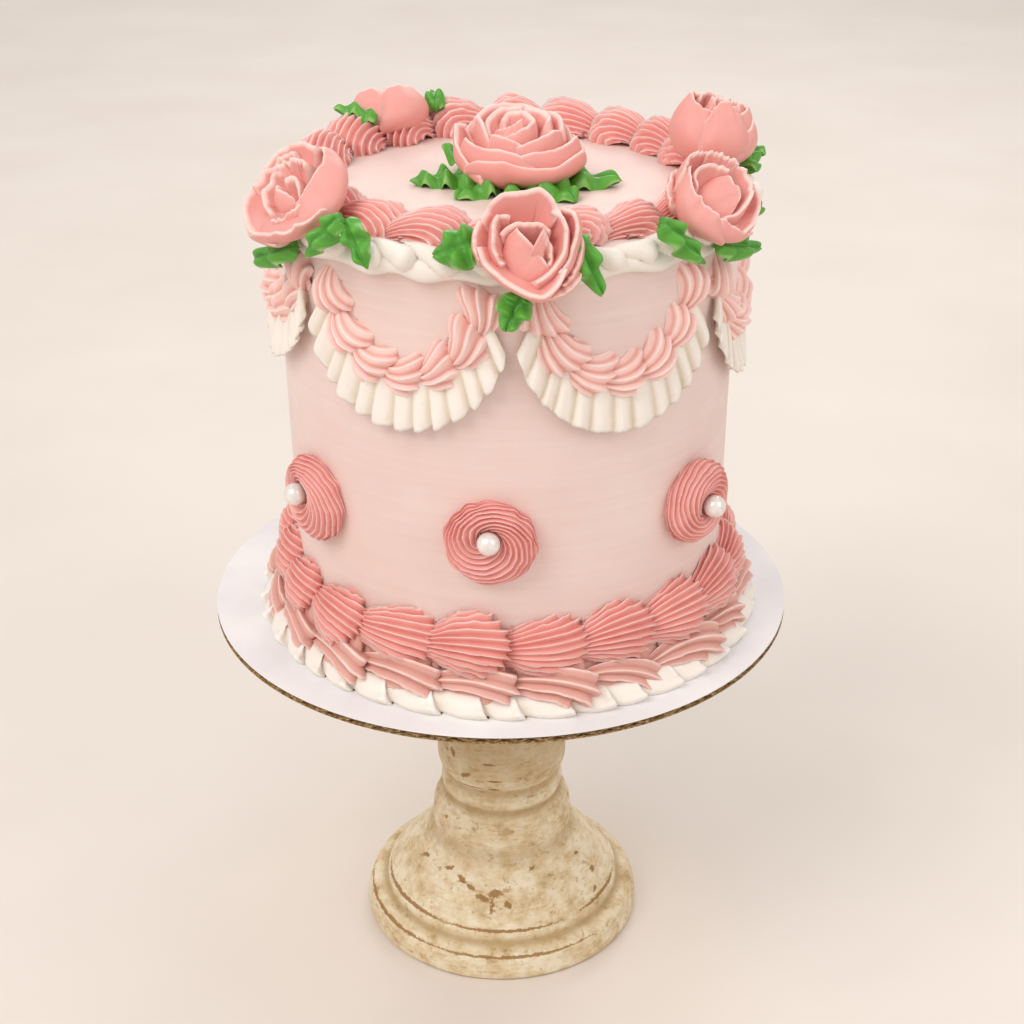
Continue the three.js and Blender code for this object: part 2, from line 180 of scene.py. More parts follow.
def grid_faces(rows, columns, ring=False):
    """Quads of a grid of points kept row after row. A ring joins its last column to its first."""
    row, column = np.mgrid[0:rows - 1, 0:columns if ring else columns - 1]
    near = (row * columns + column).ravel()
    beside = (row * columns + (column + 1) % columns).ravel()
    return np.stack([near, beside, beside + columns, near + columns], axis=1).tolist()


def closed_tube(rows, crest):
    """A closed skin over rows of points that each go round, with a fan over both ends."""
    count, columns = rows.shape[:2]
    points = np.concatenate([rows.reshape(-1, 3), rows[:1].mean(axis=1), rows[-1:].mean(axis=1)])
    faces = grid_faces(count, columns, ring=True)
    start, end = count * columns, count * columns + 1
    last = (count - 1) * columns
    for i in range(columns):
        beside = (i + 1) % columns
        faces.append((beside, i, start))
        faces.append((last + i, last + beside, end))
    crest = np.broadcast_to(crest, rows.shape[:2]).ravel()
    return points, faces, np.concatenate([crest, [0, 0]])


def closed_ring(rows, crest):
    """A closed skin over a ring: its rows go round and the last row meets the first."""
    count, columns = rows.shape[:2]
    faces = grid_faces(count, columns, ring=True)
    last = (count - 1) * columns
    faces += [(last + i, last + (i + 1) % columns, (i + 1) % columns, i) for i in range(columns)]
    return rows.reshape(-1, 3), faces, np.broadcast_to(crest, rows.shape[:2]).ravel()


def closed_sheet(front, back, crest):
    """A closed sheet between a front and a back grid of points of one size."""
    rows, columns = front.shape[:2]
    behind = rows * columns
    faces = grid_faces(rows, columns)
    faces += [[i + behind for i in reversed(face)] for face in faces]
    rim = list(range(columns)) + [row * columns + columns - 1 for row in range(1, rows)]
    rim += [(rows - 1) * columns + i for i in range(columns - 2, -1, -1)]
    rim += [row * columns for row in range(rows - 2, 0, -1)]
    for near, beside in zip(rim, rim[1:] + rim[:1]):
        faces.append((beside, near, near + behind, beside + behind))
    points = np.concatenate([front.reshape(-1, 3), back.reshape(-1, 3)])
    return points, faces, np.tile(np.broadcast_to(crest, (rows, columns)).ravel(), 2)


def joined(parts):
    """Several (points, faces, crest) parts as one."""
    points, faces, crest = [], [], []
    count = 0
    for part_points, part_faces, part_crest in parts:
        faces += [[i + count for i in face] for face in part_faces]
        points.append(part_points)
        crest.append(part_crest)
        count += len(part_points)
    return np.concatenate(points), faces, np.concatenate(crest)


def grid_normals(grid):
    """Unit normals of a grid of points: the way to the next column crossed with the way to the next row."""
    across = np.gradient(grid, axis=1)
    down = np.gradient(grid, axis=0)
    normal = np.cross(across, down)
    return normal / (np.linalg.norm(normal, axis=-1, keepdims=True) + 1e-9)


def make_object(name, part, material=None, uv=None):
    """An object from a part, with its faces turned outwards and shaded smooth. The part's crest and
    the UV map, if any, are given point by point."""
    points, faces, crest = part
    mesh = bpy.data.meshes.new(name)
    mesh.from_pydata((np.asarray(points) * MM).tolist(), [], faces)
    layer = mesh.attributes.new("crest", "FLOAT", "POINT")
    layer.data.foreach_set("value", np.asarray(crest, dtype=np.float32))
    work = bmesh.new()
    work.from_mesh(mesh)
    bmesh.ops.recalc_face_normals(work, faces=work.faces)
    work.to_mesh(mesh)
    work.free()
    if uv is not None:
        corners = np.zeros(len(mesh.loops), dtype=np.int32)
        mesh.loops.foreach_get("vertex_index", corners)
        layer = mesh.uv_layers.new(name="Surface")
        layer.data.foreach_set("uv", np.asarray(uv, dtype=np.float32)[corners].ravel())
    mesh.shade_smooth()
    if material:
        mesh.materials.append(material)
    piece = bpy.data.objects.new(name, mesh)
    bpy.context.scene.collection.objects.link(piece)
    return piece


def dress(piece, slot, *nodes):
    """The piece rides on the cake and stands for those solids, which it hides. The slot is not used."""
    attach(piece, "root")
    if nodes:
        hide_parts(*nodes)


# Node trees


def add_node(tree, kind, inputs=None, output=None, stops=None, **settings):
    """Adds a node with its settings. Each input, by its name or place, gets a value or a link, and
    stops are a colour ramp's. It returns one of the node's outputs."""
    node = tree.nodes.new(kind)
    for key, value in settings.items():
        setattr(node, key, value)
    for key, value in (inputs or {}).items():
        if isinstance(key, int):
            socket = node.inputs[key]
        else:
            socket = next(s for s in node.inputs if s.enabled and s.name == key)
        if isinstance(value, bpy.types.NodeSocket):
            tree.links.new(value, socket)
        else:
            socket.default_value = value
    if stops:
        while len(node.color_ramp.elements) < len(stops):
            node.color_ramp.elements.new(0.5)
        for element, (position, hex_code) in zip(node.color_ramp.elements, stops):
            element.position = position
            element.color = linear(hex_code)
    return next((s for s in node.outputs if s.enabled and output in (None, s.name)), None)


def linear(hex_code):
    """A linear colour with alpha from an sRGB hex code."""
    values = []
    for start in (1, 3, 5):
        value = int(hex_code[start:start + 2], 16) / 255
        values.append(value / 12.92 if value <= 0.04045 else ((value + 0.055) / 1.055) ** 2.4)
    return (*values, 1)


def new_material(name, hex_code, base, relief, strength, height, **shader_values):
    """A material whose shader takes a base colour and a bump from sockets that its own tree makes.
    base and relief are functions of the tree. strength and height (mm) are the bump's."""
    material = bpy.data.materials.new(name)
    material.use_nodes = True
    material.diffuse_color = linear(hex_code)
    tree = material.node_tree
    tree.nodes.clear()
    bump = add_node(tree, "ShaderNodeBump", {"Strength": strength, "Distance": height * MM,
                                             "Height": relief(tree)})
    values = {key.replace("_", " "): value for key, value in shader_values.items()}
    shader = add_node(tree, "ShaderNodeBsdfPrincipled", {"Base Color": base(tree), "Normal": bump, **values})
    add_node(tree, "ShaderNodeOutputMaterial", {"Surface": shader})
    return material


def in_cells(tree, size, stretch=(1, 1, 1)):
    """Object coordinates counted in cells of that size in millimetres, and as many times longer along
    X, Y and Z as stretch says."""
    place = add_node(tree, "ShaderNodeTexCoord", output="Object")
    scale = [1 / (size * MM * longer) for longer in stretch]
    return add_node(tree, "ShaderNodeMapping", {"Vector": place, "Scale": scale})


def mottled(tree, size, detail=2.0, roughness=0.5, stretch=(1, 1, 1)):
    """Cloudy values about 0.5 whose patches are that many millimetres across."""
    return add_node(tree, "ShaderNodeTexNoise", {
        "Vector": in_cells(tree, size, stretch), "Scale": 1.0, "Detail": detail, "Roughness": roughness})


# Burst air bubbles in icing: one to each cell of that many millimetres, and its radius as a share of it

BUBBLE_SPACING = 4.5
BUBBLE_SHARE = 0.06


def air_bubbles(tree):
    """1 in the round holes that the bubbles leave and 0 elsewhere."""
    distance = add_node(tree, "ShaderNodeTexVoronoi", {
        "Vector": in_cells(tree, BUBBLE_SPACING), "Scale": 1.0})
    return add_node(tree, "ShaderNodeMath", {0: distance, 1: BUBBLE_SHARE}, operation="LESS_THAN")


def mottled_colour(stops, *pattern):
    """A colour that drifts through the stops in the patches that mottled makes."""

    def base(tree):
        return add_node(tree, "ShaderNodeValToRGB", {"Fac": mottled(tree, *pattern)}, stops=stops)

    return base


def crest_shade_and_highlight(groove, body, crest, uneven=0.3, patch=9, ridge=0.7):
    """A colour by the crest attribute, cloudy: painted shade at 0 in the groove's colour, then the body's
    own colour, and from ridge to 1 more and more the crest's pale painted highlight, with painted shade in
    the bubble pits. uneven is how far clouds of patch millimetres shift it."""

    def base(tree):
        height = add_node(tree, "ShaderNodeAttribute", attribute_name="crest", output="Fac")
        cloud = add_node(tree, "ShaderNodeMath", {
            0: mottled(tree, patch), 1: uneven, 2: -uneven / 2}, operation="MULTIPLY_ADD")
        where = add_node(tree, "ShaderNodeMath", {0: height, 1: cloud}, operation="ADD", use_clamp=True)
        shade = add_node(tree, "ShaderNodeValToRGB", {"Fac": where},
                         stops=[(0.0, groove), (0.45, body), (ridge, body), (1.0, crest)])
        # Painted shade in the bubble pits: the groove's colour mixed into them.
        hole = add_node(tree, "ShaderNodeMath", {0: air_bubbles(tree), 1: 0.4}, operation="MULTIPLY")
        return add_node(tree, "ShaderNodeMix", {"Factor": hole, "A": shade, "B": linear(groove)},
                        data_type="RGBA")

    return base


def icing_grain(fine, hole_depth):
    """Grain of that many millimetres with air bubbles sunk into it."""

    def relief(tree):
        return add_node(tree, "ShaderNodeMath", {
            0: air_bubbles(tree), 1: -hole_depth, 2: mottled(tree, fine, 3.0, 0.6)},
            operation="MULTIPLY_ADD")

    return relief


# Buttercream pushed through a nozzle is a soft fat paste. Light sinks a little way in and warms the grooves,
# and small air bubbles pit the surface. Its colours paint shade into the grooves and the bubble pits,
# and a pale highlight along the thin crests.

PASTE = {
    "Roughness": 0.45, "IOR": 1.46, "Specular_IOR_Level": 0.4, "Subsurface_Weight": 0.2,
    "Subsurface_Radius": (1.0, 0.5, 0.35), "Subsurface_Scale": 0.8 * MM,
}


def piped_icing(name, hex_code, shade_body_highlight, grain=0.7, hole_depth=0.5, strength=0.18, height=0.12,
                clouds=(), **paste):
    """Icing as it leaves the nozzle, given three colours: the groove's painted shade, the body's own colour
    and the crest's painted highlight, and the clouds that the crest colouring takes after them."""
    return new_material(name, hex_code, crest_shade_and_highlight(*shade_body_highlight, *clouds), icing_grain(grain, hole_depth),
                        strength, height, **{**PASTE, **paste})


deep_buttercream = piped_icing("deep pink piped buttercream", "#e79c93", ("#da8379", "#e9a096", "#fcdcd4"),
                               hole_depth=0.6, strength=0.2)
# A lighter copy of the deep pink icing: painted light for the top shells, which take more light from above,
# and for the rosettes.
lit_deep_buttercream = piped_icing("lighter deep pink piped buttercream", "#eda69d", ("#e08d85", "#eeaaa2", "#fde2dc"),
                               hole_depth=0.6, strength=0.2)
blush_buttercream = piped_icing("blush piped buttercream", "#e8b2a3", ("#cf9385", "#dfa99c", "#f8ddd4"))
swag_buttercream = piped_icing("coral piped buttercream", "#f4c3b6", ("#e8aa9e", "#f8cfc7", "#fde9e3"))
# Its ochre groove colour is painted shade in the creases of the folds, ruffles and beads.
cream_buttercream = piped_icing(
    "uncoloured piped buttercream", "#f4e9d9", ("#dfcfb8", "#f2e9df", "#faf5ee"), clouds=(0.4,),
    grain=0.8, strength=0.15, Subsurface_Radius=(1.0, 0.8, 0.5))

# Stiffer buttercream drawn through a slotted nozzle into petals: satin faces and thin edges. Its colours
# paint shade into the folds and low in the rose, and a pale highlight along the edges. The crest attribute
# is about 1 at an edge.

petal_buttercream = piped_icing(
    "rose pink petal buttercream", "#f1aca4", ("#df8d85", "#eba59c", "#f8d6cd"), clouds=(0.3, 7, 0.66),
    grain=1.0, hole_depth=0.7, strength=0.15, height=0.15, Subsurface_Scale=1.2 * MM)

# Strongly coloured soft buttercream: wet and shiny. Its colours paint shade into the creases and a paler,
# yellower highlight along the thin edges.

leaf_buttercream = piped_icing(
    "leaf green buttercream", "#50a33f", ("#2f7a24", "#5ea73d", "#9fd47c"), clouds=(0.4, 5),
    grain=0.9, hole_depth=0.6, strength=0.2, height=0.2,
    Roughness=0.3, Subsurface_Weight=0.1, Subsurface_Radius=(0.4, 1.0, 0.3))

# Buttercream scraped smooth and left to crust: an even satin skin with faint level drag lines.


def drag_lines(tree):
    """The level marks of the scraper, 30 times as long as they are high."""
    return mottled(tree, 1.6, stretch=(30, 30, 1))


def scraped_colour(tree):
    cloud = add_node(tree, "ShaderNodeMath", {
        0: mottled(tree, 42, 3.0, 0.55), 1: 0.75}, operation="MULTIPLY")
    where = add_node(tree, "ShaderNodeMath", {0: drag_lines(tree), 1: 0.3, 2: cloud},
                     operation="MULTIPLY_ADD")
    return add_node(tree, "ShaderNodeValToRGB", {"Fac": where},
                    stops=[(0.36, "#e7cbc2"), (0.53, "#ead2ca"), (0.72, "#eed9d1")])


def scraped_relief(tree):
    return add_node(tree, "ShaderNodeMath", {
        0: mottled(tree, 0.5), 1: 0.4, 2: drag_lines(tree)}, operation="MULTIPLY_ADD")


side_buttercream = new_material(
    "scraped pale pink buttercream", "#f4d2c7", scraped_colour, scraped_relief, strength=0.12, height=0.15,
    **{**PASTE, "Roughness": 0.52, "Subsurface_Scale": 2 * MM})

# A sugar ball rolled in pearl dust: white with a silky sheen over a faintly grained coat.

pearl_sugar = new_material(
    "pearl dusted sugar", "#f1ebe6", mottled_colour([(0.3, "#e4dad4"), (0.7, "#f4efea")], 2.4),
    lambda tree: mottled(tree, 0.25), strength=0.1, height=0.05,
    Metallic=0.2, Roughness=0.25, IOR=1.53, Coat_Weight=0.5, Coat_Roughness=0.12)

# Clay coated white liner paper, pressed smooth: cool white and nearly matt, with faint fibres.

liner_paper = new_material(
    "white liner paper", "#eeeaec", mottled_colour([(0.35, "#e3dfdf"), (0.65, "#edeae9")], 30, 3.0),
    lambda tree: mottled(tree, 1.2, 4.0, stretch=(6, 1, 1)), strength=0.08, height=0.1,
    Roughness=0.55, IOR=1.5)

# Unbleached kraft paper, the fluted middle and the underside of the board: rough, fibrous and brown.

kraft_paper = new_material(
    "brown kraft paper", "#a3845a",
    mottled_colour([(0.36, "#5a4122"), (0.5, "#8d6b3e"), (0.66, "#bfa275")], 1.4, 5.0, 0.65),
    lambda tree: mottled(tree, 0.8, 5.0), strength=0.3, height=0.15, Roughness=0.85, IOR=1.5)

# Turned wood under cream chalk paint, rubbed back: dry and matt, with brush marks that go round and brown
# wood bared in chips and along the edges. A tan colour paints shade into the hollows and the board's shadow
# over the neck. A chip is its azimuth, its height, half its length, half its width and its slant in degrees.

NECK_RADIUS = 26
PAINTED_SHADE_TAN = "#ab8d5e"
WORN_SPECK = "#9c7743"
BARE_WOOD = "#946a33"
CHIPS = [
    (-47, 77, 1.2, 2.0, 25), (-56, 77, 0.9, 0.6, 0), (-33.5, 69.5, 2.6, 1.0, 25),
    (-10.5, 76.5, 2.6, 0.45, 0), (-6.2, 69.1, 2.8, 0.5, 0), (-7.6, 64.6, 2.2, 0.6, 0),
    (-31, 64.1, 6.5, 0.4, 3), (-53.7, 47.2, 1.0, 0.6, 0), (-38, 30.6, 1.8, 0.6, 20),
    (-62, 29.5, 1.4, 0.6, 20), (-26.6, 28.9, 1.8, 0.7, -30), (-19, 27.3, 1.5, 0.6, -30),
    (-11.4, 25, 1.9, 0.8, -25), (-3.8, 26.4, 2.2, 1.1, 10), (-5.2, 22.7, 0.6, 2.4, 0),
    (3.8, 23.3, 0.8, 1.2, 30), (22.7, 32.5, 1.0, 0.6, 0), (62.8, 30, 1.0, 0.6, 0),
    (66, 23, 1.0, 0.9, 20), (59, 18.2, 1.0, 0.6, 20), (-60, 9.2, 16, 0.5, 0), (5, 9.2, 17, 0.42, 0),
    (-58, 15.9, 14, 0.6, 0), (0, 15.8, 14, 0.45, 0), (150, 28, 2.4, 0.9, 30), (170, 72, 2.6, 0.7, 10),
    (-150, 9.2, 14, 0.5, 0), (62, 16, 9, 0.45, 0),
]


def bared_wood(tree):
    """Nearly 1 inside the ragged chips and 0 outside. The UV map is in millimetres round the neck and up."""
    torn_by = (2.2, 1.1, 0)
    nearest = 9.0
    place = add_node(tree, "ShaderNodeUVMap", uv_map="Surface")
    torn = add_node(tree, "ShaderNodeTexNoise", {"Vector": place, "Scale": 1.1, "Detail": 3.0},
                    output="Color")
    torn = add_node(tree, "ShaderNodeVectorMath", {0: torn, 1: (0.5, 0.5, 0.5)}, operation="SUBTRACT")
    torn = add_node(tree, "ShaderNodeVectorMath", {0: torn, 1: torn_by, 2: place},
                    operation="MULTIPLY_ADD")
    for azimuth, z, half_length, half_width, slant in CHIPS:
        inside = add_node(tree, "ShaderNodeMapping", {
            "Vector": torn, "Location": (math.radians(azimuth) * NECK_RADIUS, z, 0),
            "Rotation": (0, 0, math.radians(slant)), "Scale": (half_length, half_width, 1)},
            vector_type="TEXTURE")
        away = add_node(tree, "ShaderNodeVectorMath", {0: inside}, operation="LENGTH", output="Value")
        nearest = add_node(tree, "ShaderNodeMath", {0: away, 1: nearest}, operation="MINIMUM")
    nearest = add_node(tree, "ShaderNodeMath", {0: mottled(tree, 0.8, 4.0, 0.7), 1: 1.5, 2: nearest},
                       operation="MULTIPLY_ADD")
    return add_node(tree, "ShaderNodeMapRange", {
        "Value": nearest, "From Min": 1.55, "From Max": 1.9, "To Min": 0.9, "To Max": 0.0})


def worn_paint_colour(tree):
    """Brushed paint, darkened by a tan painted shade in the hollows and a painted shadow of the board over
    the neck, then worn specks and chips."""
    painted_shade_amount = add_node(tree, "ShaderNodeAttribute", attribute_name="crest", output="Fac")
    cloud = mottled(tree, 9, 5.0, 0.65)
    brushed = mottled(tree, 1.2, 4.0, 0.65, stretch=(4, 4, 1))
    tone = add_node(tree, "ShaderNodeMath", {0: brushed, 1: 0.45, 2: cloud}, operation="MULTIPLY_ADD")
    paint = add_node(tree, "ShaderNodeValToRGB", {"Fac": tone},
                     stops=[(0.5, "#b99d70"), (0.66, "#d6bf98"), (0.86, "#e8dbbf")])
    height = add_node(tree, "ShaderNodeSeparateXYZ", {
        0: add_node(tree, "ShaderNodeUVMap", uv_map="Surface")}, output="Y")
    # A painted shadow of the board: none below 62 mm, rising to half the tan shade at 76 mm and above.
    board_shadow = add_node(tree, "ShaderNodeMapRange", {
        "Value": height, "From Min": 62.0, "From Max": 76.0, "To Min": 0.0, "To Max": 0.5})
    painted_shade_amount = add_node(tree, "ShaderNodeMath", {0: painted_shade_amount, 1: 0.75, 2: board_shadow},
                      operation="MULTIPLY_ADD", use_clamp=True)
    shade = add_node(tree, "ShaderNodeMix", {"Factor": painted_shade_amount, "A": paint, "B": linear(PAINTED_SHADE_TAN)},
                     data_type="RGBA")
    speck = add_node(tree, "ShaderNodeMapRange", {
        "Value": mottled(tree, 2.6, 5.0, 0.75, stretch=(1.6, 1.6, 1)),
        "From Min": 0.57, "From Max": 0.66, "To Min": 0.0, "To Max": 0.65})
    shade = add_node(tree, "ShaderNodeMix", {"Factor": speck, "A": shade, "B": linear(WORN_SPECK)},
                     data_type="RGBA")
    return add_node(tree, "ShaderNodeMix", {
        "Factor": bared_wood(tree), "A": shade, "B": linear(BARE_WOOD)}, data_type="RGBA")


worn_paint = new_material(
    "rubbed cream paint on turned wood", "#d9c39b", worn_paint_colour,
    lambda tree: mottled(tree, 1.2, 4.0, 0.6, stretch=(6, 6, 1)), strength=0.35, height=0.3,
    Roughness=0.6, IOR=1.5, Specular_IOR_Level=0.35)

# The cake's body, scraped round and level


def smooth_cake():
    """The coated cake: a side that widens upwards, a rounded top edge and a level top."""
    columns, side_rows, edge_rows, top_rows = 256, 46, 8, 23
    edge = 3.2
    seam = 12
    waver, slump = 0.25, 0.25
    rng = np.random.default_rng(11)
    height = CAKE_TOP - CAKE_FOOT
    side = np.linspace(0, 1, side_rows)
    bend = np.linspace(0, math.pi / 2, edge_rows + 1)[1:]
    flat = np.linspace(1, 0.02, top_rows + 1)[1:]
    radius = np.concatenate([
        [0.3 * CAKE_RADIUS_LOW, 0.7 * CAKE_RADIUS_LOW],
        CAKE_RADIUS_LOW + CAKE_TAPER * side * (height - edge) / height,
        CAKE_RADIUS_HIGH - edge * (1 - np.cos(bend)), (CAKE_RADIUS_HIGH - edge) * flat])
    z = np.concatenate([
        [CAKE_FOOT, CAKE_FOOT], CAKE_FOOT + (height - edge) * side,
        CAKE_TOP - edge * (1 - np.sin(bend)), np.full(top_rows, CAKE_TOP)])
    around = np.arange(columns) / columns * 360
    uneven = patches(rng, (len(radius), columns + 1), (9, 14))[:, :-1]
    uneven *= waver * off_seam(around, seam)[None, :]
    lowered = slump * patches(rng, (len(radius), columns), (4, 3))
    lowered *= (radius < CAKE_RADIUS_HIGH - edge)[:, None]
    lowered = 0.15 + 0.5 * np.abs(lowered)
    rows = round_cake(around[None, :], radius[:, None] + uneven, z[:, None] - lowered)
    rows[0, :, 2] = CAKE_FOOT
    piece = make_object("scraped_cake", closed_tube(rows, 0.5), side_buttercream)
    dress(piece, "icing_side", "cake_body")


smooth_cake()

# Piped shells


def ridge(phase, lapping, sharp):
    """Height from 0 to 1 across one ridge. A lapping one leans over the groove after it."""
    peak = 0.5 + 0.3 * lapping
    phase = phase % 1
    return np.where(phase < peak, phase / peak, (1 - phase) / (1 - peak)) ** sharp


def piped_shell(seed, *, ridges, depth, reach, width, height, tail, ragged=0.04, lean=0.0, splay=0.1,
                droop=0.45, per_ridge=8, sharp=1.5, lapping=0.0, under=(0.35, 0.35), tuck=0.2,
                smear=0.0, waist=0.66, blunt=1.0, bow=0.0):
    """One shell of icing, its tail towards +x and its head towards -x, on a surface at z = 0.
    reach, width and height are the head's, from the place where the nozzle was pressed, and tail is
    how far it was then drawn out. Ridges run lengthways and depth is their share of the height.
    tuck softens them where the head rolls under and smear where the -y side runs onto the surface.
    lean turns them, splay widens the head and droop is how far it rolls under, in radians.
    A blunt below 1 squares the head off, and bow bends both ends towards -y."""
    head_rows, tail_rows = 24, 14
    head_lift, tail_sink, tail_drop = 0.12, 0.06, 0.3
    rng = np.random.default_rng(seed)
    fan = np.linspace(0, 1, head_rows)
    trail = np.linspace(0, 1, tail_rows + 1)[1:]
    swing = np.concatenate([-droop + (math.pi / 2 + droop) * fan, np.full(tail_rows, math.pi / 2)])
    swing = swing[:, None]
    drawn = np.concatenate([np.zeros(head_rows), tail * trail])[:, None]
    along = np.linspace(0, 1, head_rows + tail_rows)[:, None]
    even = np.linspace(0, 1, max(ridges, 3) * per_ridge + 1)[None, :]
    share = even + lean * (along - 0.5) * 2 * even * (1 - even)
    angle = -under[0] + (math.pi + under[0] + under[1]) * share

    crest = ridge(even * ridges, lapping, sharp) if depth > 0 else 0.6 + 0 * even
    crest = crest + np.zeros_like(along)
    shape = crest.shape
    strength = 1 + 0.35 * patches(rng, shape, (2, max(ridges, 2)))
    strength *= 1 - tuck * smooth_step(0.9, 0, swing)
    strength *= 1 - smear * smooth_step(0.5, 0.85, even)
    notches = patches(rng, shape, (19, max(2 * ridges, 4))) + 0.3 * rng.uniform(-1, 1, shape)
    relief = ragged * notches * (0.35 + 0.65 * crest) - depth * strength * (1 - crest)
    lump = 1 + 0.05 * patches(rng, shape, (3, 3))

    forward = np.clip(np.sin(angle), 0, 1) ** blunt * np.cos(swing)
    full = curve(forward, [0, 0.3, 0.65, 1], [waist, 0.86, 1.04, 1.12])
    full[head_rows:] = curve(trail, [0, 0.5, 1], [waist, 0.66 * waist, 0.1 * waist])[:, None]
    outer = full * (lump + relief)
    x = drawn - reach * (lump + relief * height / reach) * forward
    y = width * outer * (1 + splay * (1 - along)) * np.cos(angle) - bow * width * (x / reach) ** 2
    rise = head_lift * (1 - along) - tail_sink * along - tail_drop * (drawn / tail) ** 2
    z = height * (rise + (1 - head_lift) * outer * np.sin(angle) * np.sin(swing))
    return closed_tube(points_at(x, y, z), crest)


def piping_tree():
    """Geometry Nodes that set one of several piped shapes on every mark, each a little uneven."""
    tree = bpy.data.node_groups.new("piped border", "GeometryNodeTree")
    for label, kind in [("Marks", "Geometry"), ("Shapes", "Collection"), ("Uneven Size", "Float"),
                        ("Uneven Turn", "Float"), ("Seed", "Int"), ("Icing", "Material")]:
        tree.interface.new_socket(label, in_out="INPUT", socket_type="NodeSocket" + kind)
    tree.interface.new_socket("Border", in_out="OUTPUT", socket_type="NodeSocketGeometry")
    given = tree.nodes.new("NodeGroupInput").outputs
    shapes = add_node(tree, "GeometryNodeCollectionInfo", {
        "Collection": given["Shapes"], "Separate Children": True, "Reset Children": True})
    shape = add_node(tree, "GeometryNodeInputNamedAttribute", {"Name": "shape"}, data_type="INT")
    turn = add_node(tree, "GeometryNodeInputNamedAttribute", {"Name": "turn"}, data_type="FLOAT_VECTOR")
    size = add_node(tree, "GeometryNodeInputNamedAttribute", {"Name": "size"}, data_type="FLOAT_VECTOR")
    grown = add_node(tree, "FunctionNodeRandomValue", {
        "Min": -1.0, "Max": 1.0, "Seed": given["Seed"]}, data_type="FLOAT")
    factor = add_node(tree, "ShaderNodeMath", {0: grown, 1: given["Uneven Size"], 2: 1.0},
                      operation="MULTIPLY_ADD")
    scale = add_node(tree, "ShaderNodeVectorMath", {"Vector": size, "Scale": factor}, operation="SCALE")
    placed = add_node(tree, "GeometryNodeInstanceOnPoints", {
        "Points": given["Marks"], "Instance": shapes, "Pick Instance": True, "Instance Index": shape,
        "Rotation": add_node(tree, "FunctionNodeEulerToRotation", {"Euler": turn}), "Scale": scale})
    wobble = add_node(tree, "FunctionNodeRandomValue", {
        "Min": (-1, -1, -1), "Max": (1, 1, 1), "Seed": given["Seed"]}, data_type="FLOAT_VECTOR")
    wobble = add_node(tree, "ShaderNodeVectorMath", {
        "Vector": wobble, "Scale": given["Uneven Turn"]}, operation="SCALE")
    turned = add_node(tree, "GeometryNodeRotateInstances", {
        "Instances": placed, "Rotation": add_node(tree, "FunctionNodeEulerToRotation", {"Euler": wobble})})
    solid = add_node(tree, "GeometryNodeRealizeInstances", {"Geometry": turned})
    iced = add_node(tree, "GeometryNodeSetMaterial", {"Geometry": solid, "Material": given["Icing"]})
    add_node(tree, "NodeGroupOutput", {"Border": iced})
    return tree


PIPING = piping_tree()


def mark(place, along, facing, roll=0.0, yaw=0.0, size=(1, 1, 1), shape=0):
    """Where one piped shape goes: its place, the way its tail points and the way its surface faces."""
    up = Vector(facing).normalized()
    side = up.cross(Vector(along)).normalized()
    ahead = side.cross(up)
    own = Euler((math.radians(roll), 0, math.radians(yaw))).to_matrix()
    axes = Matrix((ahead, side, up)).transposed() @ own
    return place, axes.to_euler(), size, shape


def pipe(name, marks, shapes, icing, uneven_size, uneven_turn, seed):
    """One mesh piece with a piped shape on every mark, each up to uneven_size larger or smaller, as a
    share, and turned by up to uneven_turn degrees."""
    collection = bpy.data.collections.new(name)
    bpy.context.scene.collection.children.link(collection)
    for i, part in enumerate(shapes):
        variant = make_object(f"{name}_shape_{i}", part)
        bpy.context.scene.collection.objects.unlink(variant)
        collection.objects.link(variant)
    mesh = bpy.data.meshes.new(name)
    places, turns, sizes, picks = zip(*marks)
    mesh.from_pydata([tuple(place * MM) for place in places], [], [])
    for key, vectors in [("turn", turns), ("size", sizes)]:
        layer = mesh.attributes.new(key, "FLOAT_VECTOR", "POINT")
        layer.data.foreach_set("vector", [value for vector in vectors for value in vector])
    layer = mesh.attributes.new("shape", "INT", "POINT")
    layer.data.foreach_set("value", list(picks))
    piece = bpy.data.objects.new(name, mesh)
    bpy.context.scene.collection.objects.link(piece)
    modifier = piece.modifiers.new("Piping", "NODES")
    modifier.node_group = PIPING
    values = {"Shapes": collection, "Uneven Size": uneven_size, "Uneven Turn": math.radians(uneven_turn),
              "Seed": seed, "Icing": icing}
    for socket in PIPING.interface.items_tree:
        if socket.in_out == "INPUT" and socket.name in values:
            modifier[socket.identifier] = values[socket.name]
    piped = bpy.data.meshes.new_from_object(piece.evaluated_get(bpy.context.evaluated_depsgraph_get()))
    piece.modifiers.clear()
    piece.data = piped
    for key in ("turn", "size", "shape"):
        if key in piped.attributes:
            piped.attributes.remove(piped.attributes[key])
    for variant in list(collection.objects):
        bpy.data.objects.remove(variant)
    bpy.data.collections.remove(collection)
    return piece


def backwards(azimuth):
    """The direction of falling azimuth, which a shell's tail points to."""
    angle = math.radians(azimuth)
    return Vector((-math.cos(angle), -math.sin(angle), 0))


def outwards(azimuth, lift=0.0):
    """The direction away from the cake's axis, turned upwards by lift as a slope."""
    angle = math.radians(azimuth)
    return Vector((math.sin(angle), -math.cos(angle), lift)).normalized()


# The nozzle is pressed at this share of each shell's stretch of a ring, from the end that its tail
# points to

PRESSED_AT = 0.28


def shell_ring(count, start, radius, z, lift=0.0, shapes=4, seed=0, **turns):
    """Marks for a ring of shells whose heads point to the greater azimuth. lift turns their surface
    upwards from level, as a slope."""
    rng = np.random.default_rng(seed)
    marks = []
    for i in range(count):
        azimuth = start + 360 * (i + PRESSED_AT) / count
        marks.append(mark(round_cake(azimuth, radius, z), backwards(azimuth), outwards(azimuth, lift),
                          shape=int(rng.integers(shapes)), **turns))
    return marks


